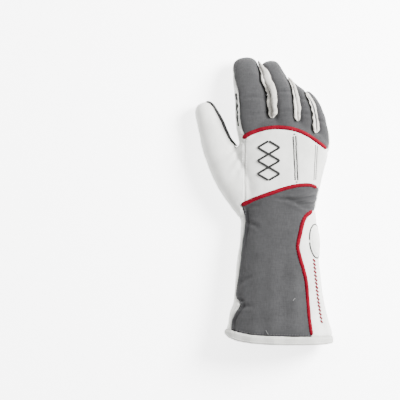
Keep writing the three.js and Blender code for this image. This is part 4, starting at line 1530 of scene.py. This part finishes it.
def add_loose_threads(surface, material):
    """Two short ends of thread that lie on the cuff"""
    ends = []
    for line in LOOSE_THREADS:
        laid = surface.drape(smooth(line, LOOSE_THREAD["points"]))
        arch = np.sin(np.linspace(0, math.pi, len(laid)))
        laid[:, 2] += LOOSE_THREAD["off"] + LOOSE_THREAD["arch"] * arch
        radii = np.full(len(laid), LOOSE_THREAD["radius"])
        ends.append(tube(laid, radii, LOOSE_THREAD["sides"]))
    add_piece("loose_threads", *joined(ends), material)


def add_stitching(name, lines, material, **sizes):
    """A piece that holds rows of stitches"""
    add_piece("stitching_" + name, *stitch_marks(lines, **sizes), material)


# The camera and the light


def place_camera(scene):
    """A camera straight above, over the middle of the photo's whole field"""
    camera = bpy.data.objects.new("camera", bpy.data.cameras.new("camera"))
    scene.collection.objects.link(camera)
    camera.location = (*CAMERA["over"], CAMERA["distance"] + CAMERA["above_floor"])
    camera.data.sensor_width = CAMERA["sensor"]
    camera.data.lens = CAMERA["sensor"] * CAMERA["distance"] / CAMERA["frame_width"]
    camera.data.clip_end = CAMERA["far"]
    scene.camera = camera


def light_room(scene):
    """Soft white light from all round, a key lamp and a weak fill, both turned to the glove"""
    world = bpy.data.worlds.new("room")
    world.use_nodes = True
    background = world.node_tree.nodes["Background"]
    background.inputs["Color"].default_value = (1, 1, 1, 1)
    background.inputs["Strength"].default_value = ROOM_LIGHT
    scene.world = world
    for lamp in LAMPS:
        light = bpy.data.lights.new(lamp["name"], "AREA")
        light.shape = "DISK"
        light.size = lamp["size"]
        light.energy = lamp["power"]
        holder = bpy.data.objects.new(lamp["name"], light)
        holder.location = lamp["at"]
        holder.rotation_mode = "QUATERNION"
        holder.rotation_quaternion = (-Vector(lamp["at"])).to_track_quat("-Z", "Y")
        scene.collection.objects.link(holder)


def lay_floor(scene):
    """A pale floor of faintly mottled paper"""
    mesh = bpy.data.meshes.new("floor")
    corners = [(x * FLOOR_HALF, y * FLOOR_HALF, 0) for x, y in [(-1, -1), (1, -1), (1, 1), (-1, 1)]]
    mesh.from_pydata(corners, [], [(0, 1, 2, 3)])
    floor = bpy.data.objects.new("floor", mesh)
    finish = Finish("floor paper", Roughness=0.9, Specular_IOR_Level=0.2, Emission_Strength=FLOOR_GLOW)
    mottle = finish.noise(finish.place(), 60, 2.0)
    finish.set("Base Color", finish.blend(mottle, "f6f6f7", "fbfbfb"))
    mesh.materials.append(finish.material)
    scene.collection.objects.link(floor)


place_camera(bpy.context.scene)
light_room(bpy.context.scene)
lay_floor(bpy.context.scene)

# The knit's seam colour is the colour of the painted shade along its seams and folds
knit = grey_knit("grey knit", 0.95, 1.2, dark="0d0d0e", light="353536", seam="080809")
white = suede("white suede", "9b9b97", "c5c5c1")
gusset_cloth = woven("white gusset", "85827d", "bbb8b2", thread_mm=1.1, shine=0.2)
hem_tape = woven("white hem", "8b8b87", "afafaa", thread_mm=0.9, shine=0.25)
red = woven("red piping", "38000a", "700016", thread_mm=0.8, shine=0.05)
black = silicone()
THREAD_COLOURS = dict(
    white="d6d6d2", grey="434345", dark="161617", pale="6c6c6b", black="040404", red="680014",
)
threads = {name: thread(name + " thread", tint) for name, tint in THREAD_COLOURS.items()}

skin, skin_faces = make_skin()
surface = Surface(skin[:, :3], skin_faces)
places = {name: finger_place(skin[:, 3:], rows) for name, rows in FINGERS.items()}

# The hem is cut off the open glove first, then panel after panel, and the palm is what is left
glove, glove_faces = cut(skin, skin_faces, beyond(skin[:, 3:], MOUTH_LINE))
band = beyond(glove[:, 3:], HEM_LINE)
hem = largest(*cut(glove, glove_faces, -band))
sewn = {"hem": make_panel("hem", *hem, hem_tape, **HEM)}

left, left_faces = cut(glove, glove_faces, band + UNDER_HEM)
PANELS = {
    "finger_back_panel": (finger_back_region, knit),
    "hand_back_panel": (hand_back_region, white),
    "cuff_back_panel": (cuff_back_region, knit),
    "side_panel": (side_panel_region, white),
    "thumb": (thumb_region, white),
    "cuff_under_panel": (cuff_under_region, white),
    "finger_front_panel": (finger_front_region, white),
}
for name, (region, material) in PANELS.items():
    value = region(left[:, 3:])
    part = largest(*cut(left, left_faces, value + SEAM_OVERLAP))
    sewn[name] = make_panel(name, *part, material, tuck=TUCKS.get(name, TUCK))
    left, left_faces = cut(left, left_faces, SEAM_OVERLAP - value)
sewn["palm_panel"] = make_panel("palm_panel", *largest(left, left_faces), white)

make_piping("knuckle_piping", [KNUCKLE_START, *KNUCKLE_LINE], surface, red)
make_piping("wrist_piping", WRIST_LINE, surface, red)
make_piping("side_piping", SIDE_LINE, surface, red)
for number, (name, rows) in enumerate(GUSSETS.items()):
    seed = RUFFLE["first_seed"] + RUFFLE["seeds_apart"] * number
    make_gusset(name, rows, surface, gusset_cloth, seed)
pad_border = make_pad(surface, white)
make_grip(skin, skin_faces, places, black)
make_trim(surface, black)

EDGE_THREADS = dict(
    hand_back_panel="white", cuff_back_panel="grey", side_panel="white", thumb="white",
    cuff_under_panel="white", finger_front_panel="white", palm_panel="white", hem="white",
)
for name, tint in EDGE_THREADS.items():
    add_stitching(name, contours(*sewn[name], EDGE_STITCHES_IN), threads[tint])
add_stitching(
    "channels", sewn_lines(surface, CHANNELS + CHANNEL_ENDS), threads["dark"],
    pitch=2.1, length=2.3, radius=0.65, shortest=2, lift=0.4,
)
add_stitching(
    "faint_channels", sewn_lines(surface, FAINT_CHANNELS), threads["pale"],
    pitch=2.4, length=2.2, radius=0.45, lift=0.3,
)
add_stitching(
    "diamonds", sewn_lines(surface, diamond_lines()), threads["black"],
    pitch=1.0, length=1.8, radius=1.3, lift=0.2,
)
# Dark thread round the pad: real stitches, made darker to stand in as painted shade of the seam groove
# they sit in
add_stitching(
    "wrist_pad", [pad_border], threads["dark"],
    pitch=2.0, length=2.3, radius=0.8, lift=0.35,
)
add_stitching(
    "dashes", sewn_lines(surface, dash_lines()), threads["red"],
    pitch=0.7, length=1.3, radius=1.25, shortest=2, lift=0.2,
)
add_loose_threads(surface, threads["pale"])
